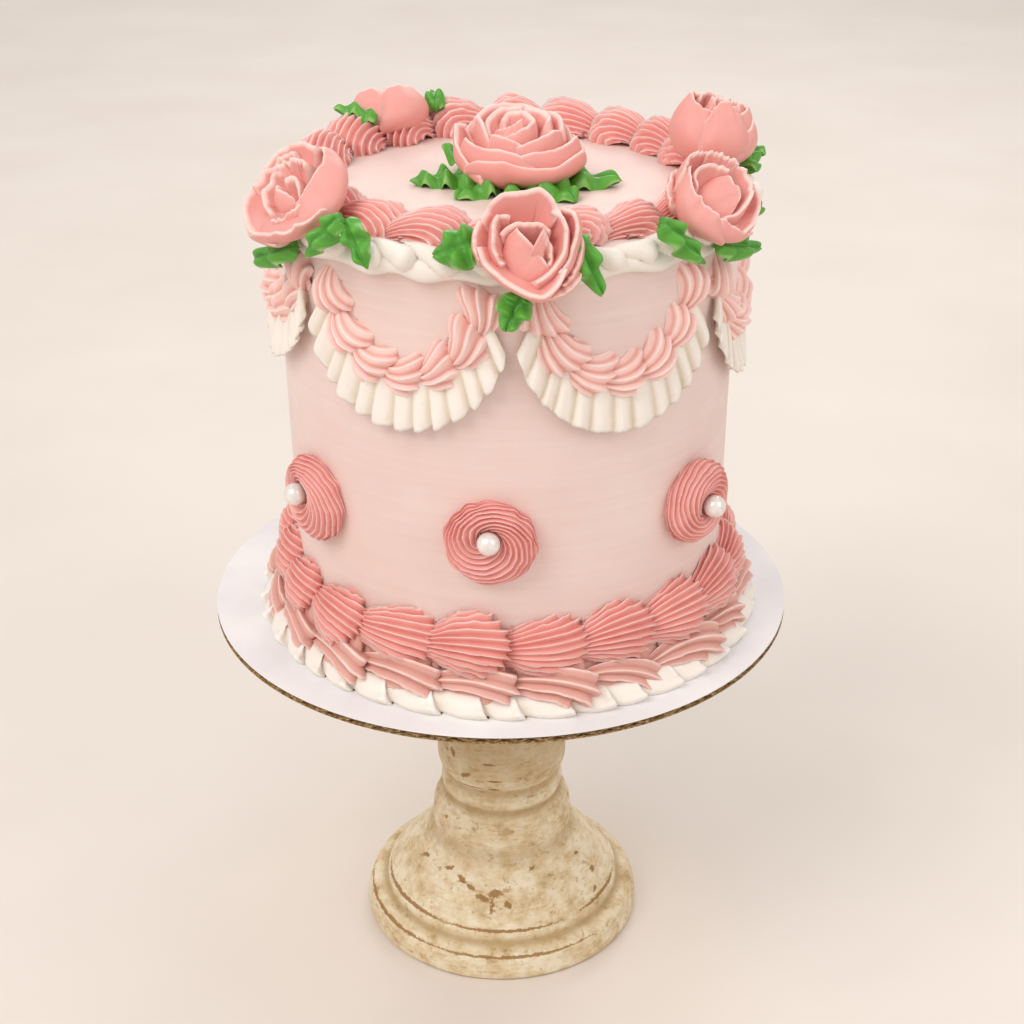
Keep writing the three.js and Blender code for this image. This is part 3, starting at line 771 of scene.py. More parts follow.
def icing_ring(name, profile, icing, slot, wave, waves, seed):
    """A ring of icing round the cake over a closed (radius, z) profile. Its lower half is waved that
    many times, by wave millimetres."""
    columns = 480
    rng = np.random.default_rng(seed)
    around = np.linspace(0, 360, columns + 1)[:-1][None, :]
    radius, z = profile_columns(profile)
    drift = 1.5 * patches(rng, (len(profile), columns), (1, 30))
    swell = wave * np.cos(np.radians(around) * waves + drift)
    low = (z < z.mean()) * off_seam(around, 5)
    rows = round_cake(around, radius + 0.3 * swell, z - swell * low)
    piece = make_object(name, closed_ring(rows, 0.5), icing)
    dress(piece, slot)


def foot_folds():
    """Uncoloured icing pressed out on the board in flat folds, each lapping over the one to its right."""
    profile = [(77, 146.2), (80.5, 146.6), (83.2, 145.4), (85.2, 143.4), (86.4, 141.4), (86.2, 140.3),
               (77, 140.3)]
    rim, underside = 1, 1.1
    levels, per_fold = 21, 20
    rng = np.random.default_rng(22)
    place = np.linspace(0, len(profile) - 1, levels)
    radius, z = (curve(place, range(len(profile)), column)[:, None] for column in np.array(profile).T)
    down = np.clip(place / 4, 0, 1.25)[:, None]
    count = FOOT_BEADS * per_fold
    around = np.linspace(0, 360, count + 1)[:-1][None, :]
    seam = off_seam(around, 5)
    fold = around * FOOT_BEADS / 360 + 0.25 * seam * patches(rng, (1, count), (1, FOOT_BEADS)) - 0.25 * down
    share = fold % 1
    edge = share ** 0.7 * (1 - smooth_step(0.88, 1, share))
    scallop = 1 - np.abs(2 * share ** 1.3 - 1) ** 3
    lobe = np.exp(-((share - 0.8) / 0.13) ** 2) * smooth_step(0.7, 0.95, down) * (down < 1.15)
    height = 1 + 0.35 * seam * patches(rng, (levels, count), (2, FOOT_BEADS))
    raised = edge * height * smooth_step(0, 0.35, down) * np.where(down > underside, 0.3, 1)
    lapping = 360 / FOOT_BEADS * 0.2 * edge * smooth_step(0, 0.4, down)
    pinched = 2.4 * (1 - scallop) * smooth_step(0.4, rim, down)
    rows = round_cake(around + lapping, radius + 1.2 * raised - pinched + 1.1 * lobe,
                      z + 0.9 * raised * (down < underside) + 1.1 * lobe)
    rows[..., 2] = np.maximum(rows[..., 2], BOARD_TOP + 0.05)
    # Painted light: shade in the creases between the folds and a highlight on their raised edges.
    crest = 0.3 + 0.45 * edge + 0.2 * (edge > 0.85)
    piece = make_object("folded_foot_border", closed_ring(rows, crest + 0 * radius), cream_buttercream)
    dress(piece, "icing_cream", "base_border_cream")


def foot_borders():
    """Three rows round the foot: cream folds on the board, blush shells and deep pink shells."""
    length = 2 * math.pi * FOOT_BORDER_RADIUS / FOOT_SHELLS
    leans = (0.35, 0.1, 0.5, -0.15, 0.25)
    bows = (0.1, 0.22, 0, 0.15, -0.08)
    deep = [piped_shell(100 + i, ridges=19, depth=0.2, reach=0.95 * length, width=11.2, height=9.6,
                        tail=0.5 * length, under=(0.4, 0.6), lean=lean, ragged=0.06, splay=0.06,
                        waist=0.6, blunt=0.78, bow=bow, per_ridge=6, sharp=1.7)
            for i, (lean, bow) in enumerate(zip(leans, bows))]
    marks = shell_ring(FOOT_SHELLS, FOOT_SHELL_START, radius=75, z=160, lift=0.4, shapes=5, seed=5, yaw=5)
    piece = pipe("piped_foot_shells", marks, deep, deep_buttercream,
                 uneven_size=0.07, uneven_turn=8, seed=3)
    dress(piece, "icing_deep", "base_border_deep")

    bows = (-0.5, -0.3, -0.65, -0.45)
    blush = [piped_shell(120 + i, ridges=8, depth=0.3, reach=0.88 * length, width=9.2, height=8.0,
                         tail=0.6 * length, under=(0.4, 0.5), lapping=0.4, tuck=0.0, waist=0.76,
                         blunt=0.8, bow=bow, per_ridge=10, sharp=1.1)
             for i, bow in enumerate(bows)]
    marks = shell_ring(FOOT_SHELLS, FOOT_SHELL_START + 5, radius=77.6, z=150.4, lift=0.75, seed=6)
    piece = pipe("piped_foot_blush", marks, blush, blush_buttercream,
                 uneven_size=0.08, uneven_turn=8, seed=4)
    dress(piece, "icing_blush", "base_border_blush")
    bed = [(73, 141), (79, 141), (79.8, 146), (79, 151), (77.4, 156), (73, 158)]
    icing_ring("blush_bed", bed, blush_buttercream, "icing_blush", wave=0.3, waves=20, seed=21)
    foot_folds()


foot_borders()


def top_borders():
    """Pink shells round the top, and cream beads over its edge with a lip that drapes below them."""
    length = 2 * math.pi * TOP_SHELL_RADIUS / TOP_SHELLS
    leans = (0.3, 0.1, -0.2, 0.45, 0)
    bows = (0.1, 0.3, -0.1, 0.2, 0)
    shells = [piped_shell(160 + i, ridges=18, depth=0.17, reach=0.95 * length, width=10.2, height=13.2,
                          tail=0.6 * length, lean=lean, ragged=0.05, blunt=0.72, bow=bow, per_ridge=6,
                          sharp=1.7)
              for i, (lean, bow) in enumerate(zip(leans, bows))]
    rng = np.random.default_rng(8)
    fullest_azimuth = 168
    marks = []
    for i in range(TOP_SHELLS):
        azimuth = TOP_SHELL_START + 360 * (i + PRESSED_AT) / TOP_SHELLS
        fuller = 1.06 + 0.2 * math.cos(math.radians(azimuth - fullest_azimuth))
        place = round_cake(azimuth, TOP_SHELL_RADIUS, CAKE_TOP - 0.3)
        marks.append(mark(place, backwards(azimuth), (0, 0, 1), yaw=8, size=(1, 1, fuller),
                          shape=int(rng.integers(len(shells)))))
    piece = pipe("piped_top_shells", marks, shells, lit_deep_buttercream,
                 uneven_size=0.06, uneven_turn=6, seed=6)
    dress(piece, "icing_deep", "top_border_shells")

    bead = 2 * math.pi * TOP_EDGE_RADIUS / TOP_BEADS
    beads = [piped_shell(180 + i, ridges=1, depth=0.0, reach=(0.5 + 0.05 * i) * bead,
                         width=5.1 - 0.3 * i, height=6.8 - 0.5 * i, tail=bead, ragged=0.012,
                         per_ridge=14, splay=0.0, droop=0.9, waist=0.7)
             for i in range(4)]
    marks = shell_ring(TOP_BEADS, start=0, radius=75.9, z=287.4, lift=0.9, seed=9, yaw=-20)
    piece = pipe("piped_top_beads", marks, beads, cream_buttercream,
                 uneven_size=0.12, uneven_turn=8, seed=7)
    dress(piece, "icing_cream", "top_border_cream")
    lip = [(74.9, 281.6), (76.8, 280.9), (78, 281.9), (78.4, 283.6), (77.6, 286.2), (74.9, 287.5)]
    icing_ring("draped_lip", lip, cream_buttercream, "icing_cream", wave=0.8, waves=22, seed=23)


top_borders()

# Swags and ruffles


def ruffle(i, hanging):
    """A ribbon of cream gathered into rounded pleats that lap over each other, with a thin wavy hem."""
    rows, per_flute, ragged_spots = 15, 18, 79
    turn_reach = math.radians(77)
    hems_drawn_up = (0, 3)
    rng = np.random.default_rng(400 + i)
    down = np.linspace(0, 1, rows)[:, None]
    flute = np.linspace(0, RUFFLE_FLUTES, RUFFLE_FLUTES * per_flute + 1)[None, :]
    crowd = flute + 0.22 * curve(flute, range(RUFFLE_FLUTES + 1), rng.uniform(-1, 1, RUFFLE_FLUTES + 1))
    turn = turn_reach * (2 * crowd / RUFFLE_FLUTES - 1)
    top_azimuth, top_z = hanging(turn)
    hem_azimuth, hem_z = hanging(turn, RUFFLE_HALF_SPAN, RUFFLE_LOW, RUFFLE_RISE)

    across = flute % 1
    pleat = np.sin(math.pi * across ** 0.8) ** 1.25
    lap = smooth_step(0, 0.26, across) * (1 - across) ** 1.1
    knots = np.arange(RUFFLE_FLUTES + 2) - 0.5
    fullness = curve(flute, knots, rng.uniform(0.75, 1.15, RUFFLE_FLUTES + 2))
    hem_goes = -1 if i in hems_drawn_up else 1
    scallop = 1 - (2 * across - 1) ** 2
    reach = down * (1 + 0.06 * hem_goes * fullness * (scallop - 0.7))
    lapped = -0.18 * RUFFLE_HALF_SPAN / RUFFLE_FLUTES * lap * down
    azimuth = top_azimuth + (hem_azimuth - top_azimuth) * reach + lapped * np.cos(turn)
    z = top_z + (hem_z - top_z) * reach + lapped * np.sin(turn)
    out = 1.4 + down * (2.1 + fullness * (1.8 * pleat + 1.1 * lap)) * (1 - 0.15 * smooth_step(0.8, 1, down))
    out += 0.15 * patches(rng, out.shape, (3, 40)) * down
    knots = np.linspace(0, RUFFLE_FLUTES, ragged_spots)
    ragged = 0.35 * curve(flute, knots, rng.uniform(-1, 1, ragged_spots))
    z = z + (ragged + 0.1 * rng.uniform(-1, 1, flute.shape)) * down ** 8

    thickness = 1.9 - 1.3 * down
    front = round_cake(azimuth, cake_radius(z) + out, z)
    back = round_cake(azimuth, cake_radius(z) + np.maximum(out - thickness, 0.25), z)
    # Painted light: shade in the creases, a highlight on each pleat's roll and lapped edge, and a paler hem.
    crest = 0.06 + 0.45 * lap + 0.4 * pleat + 0.25 * smooth_step(0.9, 1, down)
    return closed_sheet(front, back, np.clip(crest, 0, 1))


def swag_and_ruffle(i):
    """A garland of shells on the side over a pleated cream ruffle."""
    middle = JOINT_AZIMUTH + 360 * (i + 0.5) / SWAGS
    lift = SWAG_LIFT[i]
    sunk, pressed_at, slack = 0.5, 0.36, 1.35

    def hanging(turn, half_span=SWAG_HALF_SPAN, low=SWAG_LOW, rise=SWAG_RISE):
        return middle + half_span * np.sin(turn), low + lift + (rise - lift) * (1 - np.cos(turn))

    marks = []
    rng = np.random.default_rng(300 + i)
    for shell in range(SWAG_SHELLS):
        turn = -math.pi / 2 + math.pi * (shell + pressed_at) / SWAG_SHELLS
        azimuth, z = hanging(turn)
        before, before_z = hanging(turn - 0.02)
        place = round_cake(azimuth, cake_radius(z) - sunk, z)
        tail = Vector(round_cake(before, cake_radius(before_z) - sunk, before_z) - place)
        marks.append(mark(place, tail, outwards(azimuth), roll=10, yaw=8, shape=int(rng.integers(4))))
    garland = 2 * math.radians(SWAG_HALF_SPAN) * SIDE_RADIUS * slack
    length = garland / SWAG_SHELLS
    shells = [piped_shell(200 + 10 * i + k, ridges=7, depth=0.27, reach=0.95 * length, width=7.6,
                          height=9.0, tail=0.74 * length, lean=0.3, ragged=0.02, splay=0.12, lapping=0.5,
                          tuck=0.35, smear=0.9, under=(0.35, 0.3), waist=0.74, blunt=0.7, bow=0.6,
                          per_ridge=10, sharp=1.2)
              for k in range(4)]
    piece = pipe(f"piped_swag_{i + 1}", marks, shells, swag_buttercream,
                 uneven_size=0.06, uneven_turn=6, seed=30 + i)
    dress(piece, "icing_swag", f"swag_{i + 1}")

    piece = make_object(f"pleated_ruffle_{i + 1}", ruffle(i, hanging), cream_buttercream)
    dress(piece, "icing_cream", f"ruffle_{i + 1}")


for number in range(SWAGS):
    swag_and_ruffle(number)

# Rosettes and pearls


def rosette_and_pearl(i):
    """One turn of a star nozzle: ridges spiral in from a ragged rim over a dome to a dimple with a pearl."""
    rng = np.random.default_rng(500 + i)
    arms, rings, columns = 9, 130, 150
    spiral_pitch = 1.75
    inward = np.linspace(0, 1, rings)[:, None]
    knots = [0, 0.1, 0.35, 0.62, 0.8, 0.9, 1]
    reach = curve(inward, knots, [0.93, 1, 0.86, 0.55, 0.3, 0.2, 0.02])
    out = curve(inward, knots, [-0.6, 2.2, 6.0, 7.9, 7.0, 5.0, 4.0])
    around = np.linspace(0, 2 * math.pi, columns, endpoint=False)[None, :]
    steps = np.hypot(ROSETTE_RADIUS * np.diff(reach, axis=0), np.diff(out, axis=0))
    way = np.concatenate([[[0]], np.cumsum(steps, axis=0)])
    wander = 0.4 * smooth_step(0, 1, np.sin(around / 2)) * patches(rng, (rings, columns), (5, 7))
    crest = ridge(arms * around / (2 * math.pi) - way / spiral_pitch + wander, 0.4, 1.7)
    shape = crest.shape
    depth = 1.3 * smooth_step(0, 0.08, inward) * (1 - smooth_step(0.86, 1, inward))
    relief = depth * (crest - 0.6) * (1 + 0.4 * patches(rng, shape, (9, 12)))
    ragged = 0.045 * patches(rng, shape, (5, 30)) * (1 - inward)
    scallop = 0.05 * (crest - 0.6) * (1 - smooth_step(0, 0.4, inward))
    radius = 0.95 * ROSETTE_RADIUS * (reach * (1 + ragged) + scallop)
    stroke = 0.6 * np.sin(around + 0.9) * (1 - inward) * smooth_step(0, 0.15, inward)
    lift = PEARL_LIFT[i] * smooth_step(0.2, 1, inward)
    wall = cake_radius(ROSETTE_HEIGHT) + 0.3
    azimuth = JOINT_AZIMUTH + 360 * i / SWAGS + ROSETTE_SHIFT[i]
    rows = round_cake(azimuth + np.degrees(radius * np.cos(around) / wall), wall + out + relief + stroke,
                      ROSETTE_HEIGHT + radius * np.sin(around) + lift)
    piece = make_object(f"piped_rosette_{i + 1}", closed_tube(rows, crest), lit_deep_buttercream)
    dress(piece, "icing_deep", f"rosette_{i + 1}")

    rings, columns = 26, 48
    down = np.linspace(0, math.pi, rings)[:, None]
    around = np.linspace(0, 2 * math.pi, columns, endpoint=False)[None, :]
    size = PEARL_RADIUS * (1 + 0.012 * patches(rng, (rings, columns), (3, 4)))
    level = size * np.sin(down)
    ball = points_at(level * np.cos(around), level * np.sin(around), size * np.cos(down))
    rows = ball + round_cake(azimuth, PEARL_CENTRE, ROSETTE_HEIGHT + PEARL_LIFT[i])
    piece = make_object(f"sugar_pearl_{i + 1}", closed_tube(rows[1:-1], 0.5), pearl_sugar)
    dress(piece, "sugar_pearl", f"pearl_{i + 1}")


for number in range(SWAGS):
    rosette_and_pearl(number)

# Roses. Each stands on its own axis at an azimuth and a reach from the cake's, and leans out by its
# tilt, as its solid does. A petal is given by points along its rim and its belly, each (bearing, reach,
# height): the bearing is in degrees seen from the camera, 0 right, 90 away and 180 left, and the others
# are in shares of the rose's radius and height. Both run the same way round.

ROSES = {
    "centre": {"azimuth": 36, "reach": 5, "z": 290.7, "tilt": 2, "radius": 20.4, "height": 21.5},
    "front": {"azimuth": 3.5, "reach": 76.8, "z": 287.4, "tilt": 52, "radius": 15.4, "height": 17},
    "right": {"azimuth": 49, "reach": 75, "z": 291, "tilt": 34, "radius": 13.6, "height": 17},
    "left": {"azimuth": -52, "reach": 75, "z": 291.5, "tilt": 34, "radius": 17.2, "height": 16},
    "right_back": {"azimuth": 98, "reach": 64.5, "z": 293.5, "tilt": 12, "radius": 13.8, "height": 21.5},
    "left_back": {"azimuth": -142, "reach": 65.5, "z": 292, "tilt": 12, "radius": 13.4, "height": 16.5},
}


def petal(rim, belly=None, swell=1.0, waist=0.5, thick=0.1, ragged=0.028):
    """A petal by its rim. Without a belly of its own, the belly is the rim drawn out by swell and
    lowered to waist. thick and ragged are shares of the rose's radius."""
    belly = belly or [(bearing, reach * swell, height * waist) for bearing, reach, height in rim]
    return rim, belly, thick, ragged


def bud(first, reach, height, swell, **sizes):
    """Three petals wrapped round each other. Each rim is highest in its middle and its right end laps
    outside the next."""
    span, droop, lap = 150, 0.25, 0.16
    petals = []
    for middle in (first, first + 120, first + 240):
        rim = [(middle + span * share, reach + lap * share, height * (1 - droop * (2 * share) ** 2))
               for share in (-0.5, -0.3, -0.1, 0.1, 0.3, 0.5)]
        petals.append(petal(rim, swell=swell, **sizes))
    return petals


def line_through(points, count):
    """A smooth line through (bearing, reach, height) points, as that many (x, y, z)."""
    bearing, reach, height = np.array(points, dtype=float).T
    angle = np.radians(bearing)
    corners = np.stack([reach * np.cos(angle), reach * np.sin(angle), height])
    run = np.concatenate([[0], np.cumsum(np.linalg.norm(np.diff(corners, axis=1), axis=0))])
    where = np.linspace(0, run[-1], count)
    return np.stack([curve(where, run, row) for row in corners], axis=-1)


def petal_part(rng, sizes, rose):
    """A petal's closed sheet in the rose's axes as the camera sees them, in millimetres."""
    columns, levels, jags = 57, 21, 15
    rim, belly, thick, ragged = sizes
    rim = line_through(rim, columns)
    belly = line_through(belly, columns)
    base = belly * (0.55, 0.55, 0)
    up = np.sin(np.linspace(0, math.pi / 2, levels))[:, None, None]
    grid = base * (1 - up) * (1 - 2 * up) + belly * 4 * up * (1 - up) + rim * up * (2 * up - 1)
    torn = curve(np.linspace(0, 1, columns), np.linspace(0, 1, jags), rng.uniform(-1, 1, jags))
    jag = ragged * (1.3 * torn + 0.25 * rng.uniform(-1, 1, columns))
    up = up[..., 0]
    grid[..., 2] += jag * up ** 6
    grid = grid * (rose["radius"], rose["radius"], rose["height"])

    outward = grid_normals(grid)
    centre = np.array([0, 0, 0.3 * rose["height"]])
    outward *= np.sign(np.sum(outward * (grid - centre), axis=-1, keepdims=True).mean())
    grid += outward * (0.25 * patches(rng, (levels, columns), (3, 6)) * up)[..., None]
    to_rim = np.linalg.norm(grid[-1:] - grid, axis=-1)
    width = np.linalg.norm(np.diff(belly, axis=0), axis=1).sum() * rose["radius"]
    to_end = (1 - np.abs(np.linspace(-1, 1, columns)))[None, :] * width / 2
    near_edge = np.minimum(to_rim, to_end + 0.5)
    lip = 0.45 * thick * rose["radius"]
    foot = 4.6 * thick * rose["radius"]
    thickness = lip + foot * (1 - up) ** 0.7
    round_over = 0.46 * lip * (1 - np.sqrt(1 - (1 - np.clip(near_edge / lip, 0, 1)) ** 2))
    front = grid - outward * round_over[..., None]
    back = grid - outward * (thickness - round_over)[..., None]
    # Painted light: darker low on the petal, where shade falls inside the rose, and a pale painted highlight
    # along its thin edges.
    rim_highlight_width = 1.0
    crest = 0.3 + 0.16 * up + 0.6 * np.exp(-(near_edge / rim_highlight_width) ** 1.4)
    return closed_sheet(front, back, np.clip(crest, 0, 1))


def heart(rose):
    """The cone of icing that the petals were wound on, hidden but for its tip."""
    rows, columns = 14, 32
    rise = np.linspace(0, 1, rows)[:, None]
    around = np.linspace(0, 2 * math.pi, columns, endpoint=False)[None, :]
    radius = rose["radius"] * curve(rise, [0, 0.3, 0.7, 1], [0.5, 0.66, 0.3, 0.02])
    height = 0.6 * rose["height"] * rise
    # A crest of 0 gives the heart the grooves' painted shade.
    return closed_tube(points_at(radius * np.cos(around), radius * np.sin(around), height), 0.0)


# The front rose, seen full face: three bud petals round a gap, then two, and six round the outside

FRONT_PETALS = [
    petal([(126, 0.32, 0.93), (113, 0.15, 0.9), (0, 0.1, 0.85), (-32, 0.32, 0.78), (-40, 0.56, 0.66)],
          [(166, 0.41, 0.55), (198, 0.48, 0.5), (241, 0.57, 0.45), (277, 0.62, 0.42), (308, 0.66, 0.4)],
          ragged=0.01),
    petal([(45, 0.38, 0.93), (27, 0.4, 0.9), (7, 0.43, 0.85), (-15, 0.47, 0.8), (-34, 0.53, 0.72)],
          [(37, 0.21, 0.7), (3, 0.36, 0.6), (-9, 0.48, 0.5), (-24, 0.55, 0.45), (-38, 0.61, 0.4)],
          ragged=0.012),
    petal([(158, 0.53, 0.82), (138, 0.48, 0.9), (104, 0.41, 0.94), (69, 0.43, 0.94), (36, 0.51, 0.86)],
          swell=1.06, ragged=0.014),
    petal([(121, 0.6, 0.95), (136, 0.72, 0.97), (156, 0.68, 0.96), (180, 0.64, 0.93), (205, 0.61, 0.86),
           (221, 0.57, 0.78)], swell=1.06),
    petal([(56, 0.8, 0.93), (37, 0.8, 0.96), (17, 0.76, 0.96), (-6, 0.71, 0.92), (-35, 0.66, 0.85),
           (-73, 0.7, 0.74)], swell=1.06, waist=0.45),
    petal([(157, 0.93, 0.8), (138, 0.99, 0.92), (117, 1.0, 1.0), (93, 0.96, 1.02), (81, 1.01, 1.07),
           (65, 0.95, 1.0), (42, 0.83, 0.92)], swell=0.88),
    petal([(152, 0.97, 0.85), (165, 0.97, 0.88), (177, 0.97, 0.88), (187, 0.95, 0.84), (199, 0.9, 0.76)],
          swell=0.94),
    petal([(186, 0.9, 0.88), (202, 0.86, 0.86), (231, 0.8, 0.8), (256, 0.82, 0.76), (286, 1.0, 0.72),
           (312, 0.92, 0.74), (330, 0.85, 0.8)], swell=0.92, ragged=0.03),
    petal([(49, 0.95, 0.9), (37, 1.02, 0.94), (21, 0.97, 0.92), (3, 0.86, 0.88), (-16, 0.81, 0.82),
           (-38, 0.78, 0.76)], swell=1.08),
    petal([(23, 1.03, 0.7), (6, 1.02, 0.7), (-9, 0.99, 0.66), (-26, 0.96, 0.6), (-42, 0.93, 0.55)],
          swell=1.0),
    petal([(-78, 0.86, 0.42), (-60, 0.98, 0.5), (-42, 1.06, 0.52), (-24, 1.1, 0.5), (-8, 1.06, 0.44)],
          swell=0.92),
]

# The middle rose: a dome of long petals with smooth thin rims, whose ends are drawn out to points

CENTRE_PETALS = [
    petal([(150, 0.3, 0.9), (120, 0.28, 0.98), (80, 0.26, 1.0), (40, 0.24, 0.98)], swell=1.3),
    petal([(30, 0.2, 0.98), (-10, 0.26, 0.96), (-50, 0.3, 0.9), (-90, 0.33, 0.84)], swell=1.3),
    petal([(200, 0.34, 0.8), (230, 0.26, 0.86), (260, 0.18, 0.92), (300, 0.1, 0.97)],
          [(190, 0.42, 0.5), (220, 0.4, 0.5), (250, 0.38, 0.5), (280, 0.36, 0.5)]),
    petal([(-144, 0.46, 0.66), (-118, 0.42, 0.77), (-95, 0.42, 0.85), (-70, 0.4, 0.93), (-45, 0.36, 0.98)],
          swell=1.15),
    petal([(-20, 0.5, 0.97), (10, 0.5, 0.95), (40, 0.46, 1.0), (75, 0.5, 1.0)], swell=1.1),
    petal([(85, 0.5, 1.0), (115, 0.5, 1.0), (145, 0.48, 0.96), (175, 0.5, 0.86), (200, 0.5, 0.74)],
          swell=1.1),
    petal([(150, 0.7, 0.86), (172, 0.64, 0.94), (194, 0.6, 0.93), (215, 0.6, 0.78), (236, 0.62, 0.54)],
          swell=1.05),
    petal([(-131, 0.64, 0.83), (-112, 0.62, 0.82), (-91, 0.62, 0.75), (-69, 0.64, 0.64)], swell=1.08),
    petal([(-96, 0.64, 0.68), (-72, 0.65, 0.77), (-52, 0.65, 0.84), (-32, 0.65, 0.87), (-15, 0.65, 0.83)],
          swell=1.08),
    petal([(-12, 0.7, 0.84), (12, 0.7, 0.9), (40, 0.7, 0.94), (66, 0.7, 0.92)], swell=1.05),
    petal([(60, 0.7, 0.94), (85, 0.72, 0.98), (110, 0.72, 1.0), (135, 0.72, 0.98), (158, 0.74, 0.88)],
          swell=1.05),
    petal([(200, 0.86, 0.72), (212, 0.84, 0.68), (230, 0.82, 0.66), (246, 0.8, 0.68), (262, 0.8, 0.66),
           (274, 0.82, 0.6), (287, 0.85, 0.5)], swell=1.05, waist=0.45),
    petal([(268, 0.8, 0.58), (287, 0.8, 0.65), (305, 0.82, 0.66), (325, 0.86, 0.69), (350, 0.92, 0.75)],
          swell=1.05, waist=0.45),
    petal([(0, 0.86, 0.6), (25, 0.86, 0.72), (52, 0.86, 0.78), (80, 0.86, 0.72)], swell=1.0),
    petal([(75, 0.86, 0.72), (105, 0.86, 0.82), (135, 0.86, 0.8), (160, 0.88, 0.7)], swell=1.0),
    petal([(216, 0.98, 0.4), (234, 1.0, 0.53), (256, 0.99, 0.56), (278, 0.98, 0.48), (300, 1.0, 0.46),
           (322, 1.03, 0.55), (340, 1.06, 0.6), (354, 1.04, 0.46)], swell=0.97),
    petal([(150, 0.98, 0.72), (172, 1.0, 0.8), (190, 1.0, 0.64), (205, 0.98, 0.54), (222, 0.98, 0.4),
           (236, 1.0, 0.3)], swell=0.94, waist=0.4),
    petal([(345, 1.02, 0.4), (5, 1.02, 0.52), (28, 1.0, 0.6), (50, 0.98, 0.5)], swell=0.94),
    petal([(48, 0.98, 0.46), (75, 1.0, 0.56), (105, 1.0, 0.5), (130, 0.98, 0.42)], swell=0.94),
    petal([(110, 0.98, 0.5), (135, 1.0, 0.6), (158, 1.0, 0.56)], swell=0.94),
]

# The left rose: a low bud deep in large cupped petals, the lowest of them folded over

LEFT_PETALS = [
    petal([(150, 0.2, 0.86), (180, 0.16, 0.85), (240, 0.1, 0.78), (290, 0.22, 0.66)],
          [(160, 0.3, 0.5), (190, 0.34, 0.5), (230, 0.38, 0.45), (280, 0.4, 0.4)], ragged=0.01),
    petal([(90, 0.2, 0.84), (60, 0.2, 0.85), (20, 0.22, 0.84), (340, 0.24, 0.78), (310, 0.3, 0.68)],
          swell=1.4, ragged=0.01),
    petal([(215, 0.5, 0.62), (190, 0.5, 0.76), (165, 0.48, 0.84), (140, 0.48, 0.82), (112, 0.5, 0.86),
           (85, 0.5, 0.84)], swell=1.08),
    petal([(100, 0.42, 1.02), (78, 0.48, 1.0), (52, 0.52, 0.95), (28, 0.52, 0.92)], swell=1.08),
    petal([(230, 0.62, 0.6), (250, 0.58, 0.62), (275, 0.55, 0.66), (300, 0.55, 0.68)], swell=1.1),
    petal([(150, 0.72, 0.86), (125, 0.7, 0.92), (106, 0.7, 0.9), (90, 0.7, 1.0), (66, 0.7, 1.0)],
          swell=1.04),
    petal([(286, 0.4, 0.66), (305, 0.44, 0.74), (350, 0.54, 0.82), (12, 0.76, 0.86), (35, 0.94, 0.84),
           (58, 0.96, 0.76)],
          [(278, 0.84, 0.35), (305, 0.94, 0.4), (335, 1.0, 0.42), (0, 1.02, 0.45), (30, 1.02, 0.45),
           (58, 1.0, 0.45)], thick=0.09),
    petal([(212, 0.98, 0.55), (195, 0.95, 0.66), (175, 0.92, 0.72), (150, 0.9, 0.76), (128, 0.86, 0.78)],
          swell=0.94),
    petal([(138, 0.86, 0.78), (113, 0.88, 0.88), (90, 0.9, 1.0), (65, 0.9, 0.98), (42, 0.88, 0.9)],
          swell=0.94),
    petal([(206, 1.0, 0.5), (222, 0.98, 0.6), (240, 0.96, 0.62), (262, 0.96, 0.6), (282, 0.95, 0.6),
           (300, 0.94, 0.56), (314, 0.94, 0.48)], swell=0.92, ragged=0.03),
    petal([(182, 0.98, 0.4), (202, 1.0, 0.48), (222, 0.97, 0.44), (240, 0.94, 0.34)], swell=0.92),
    petal([(60, 0.96, 0.6), (90, 1.0, 0.66), (120, 1.0, 0.62), (150, 0.98, 0.5)], swell=0.94),
    petal([(20, 1.02, 0.5), (45, 1.02, 0.58), (75, 1.0, 0.5)], swell=0.94),
]

# The right rose: one smooth bud petal, with a large petal over it on either side that meet in a V

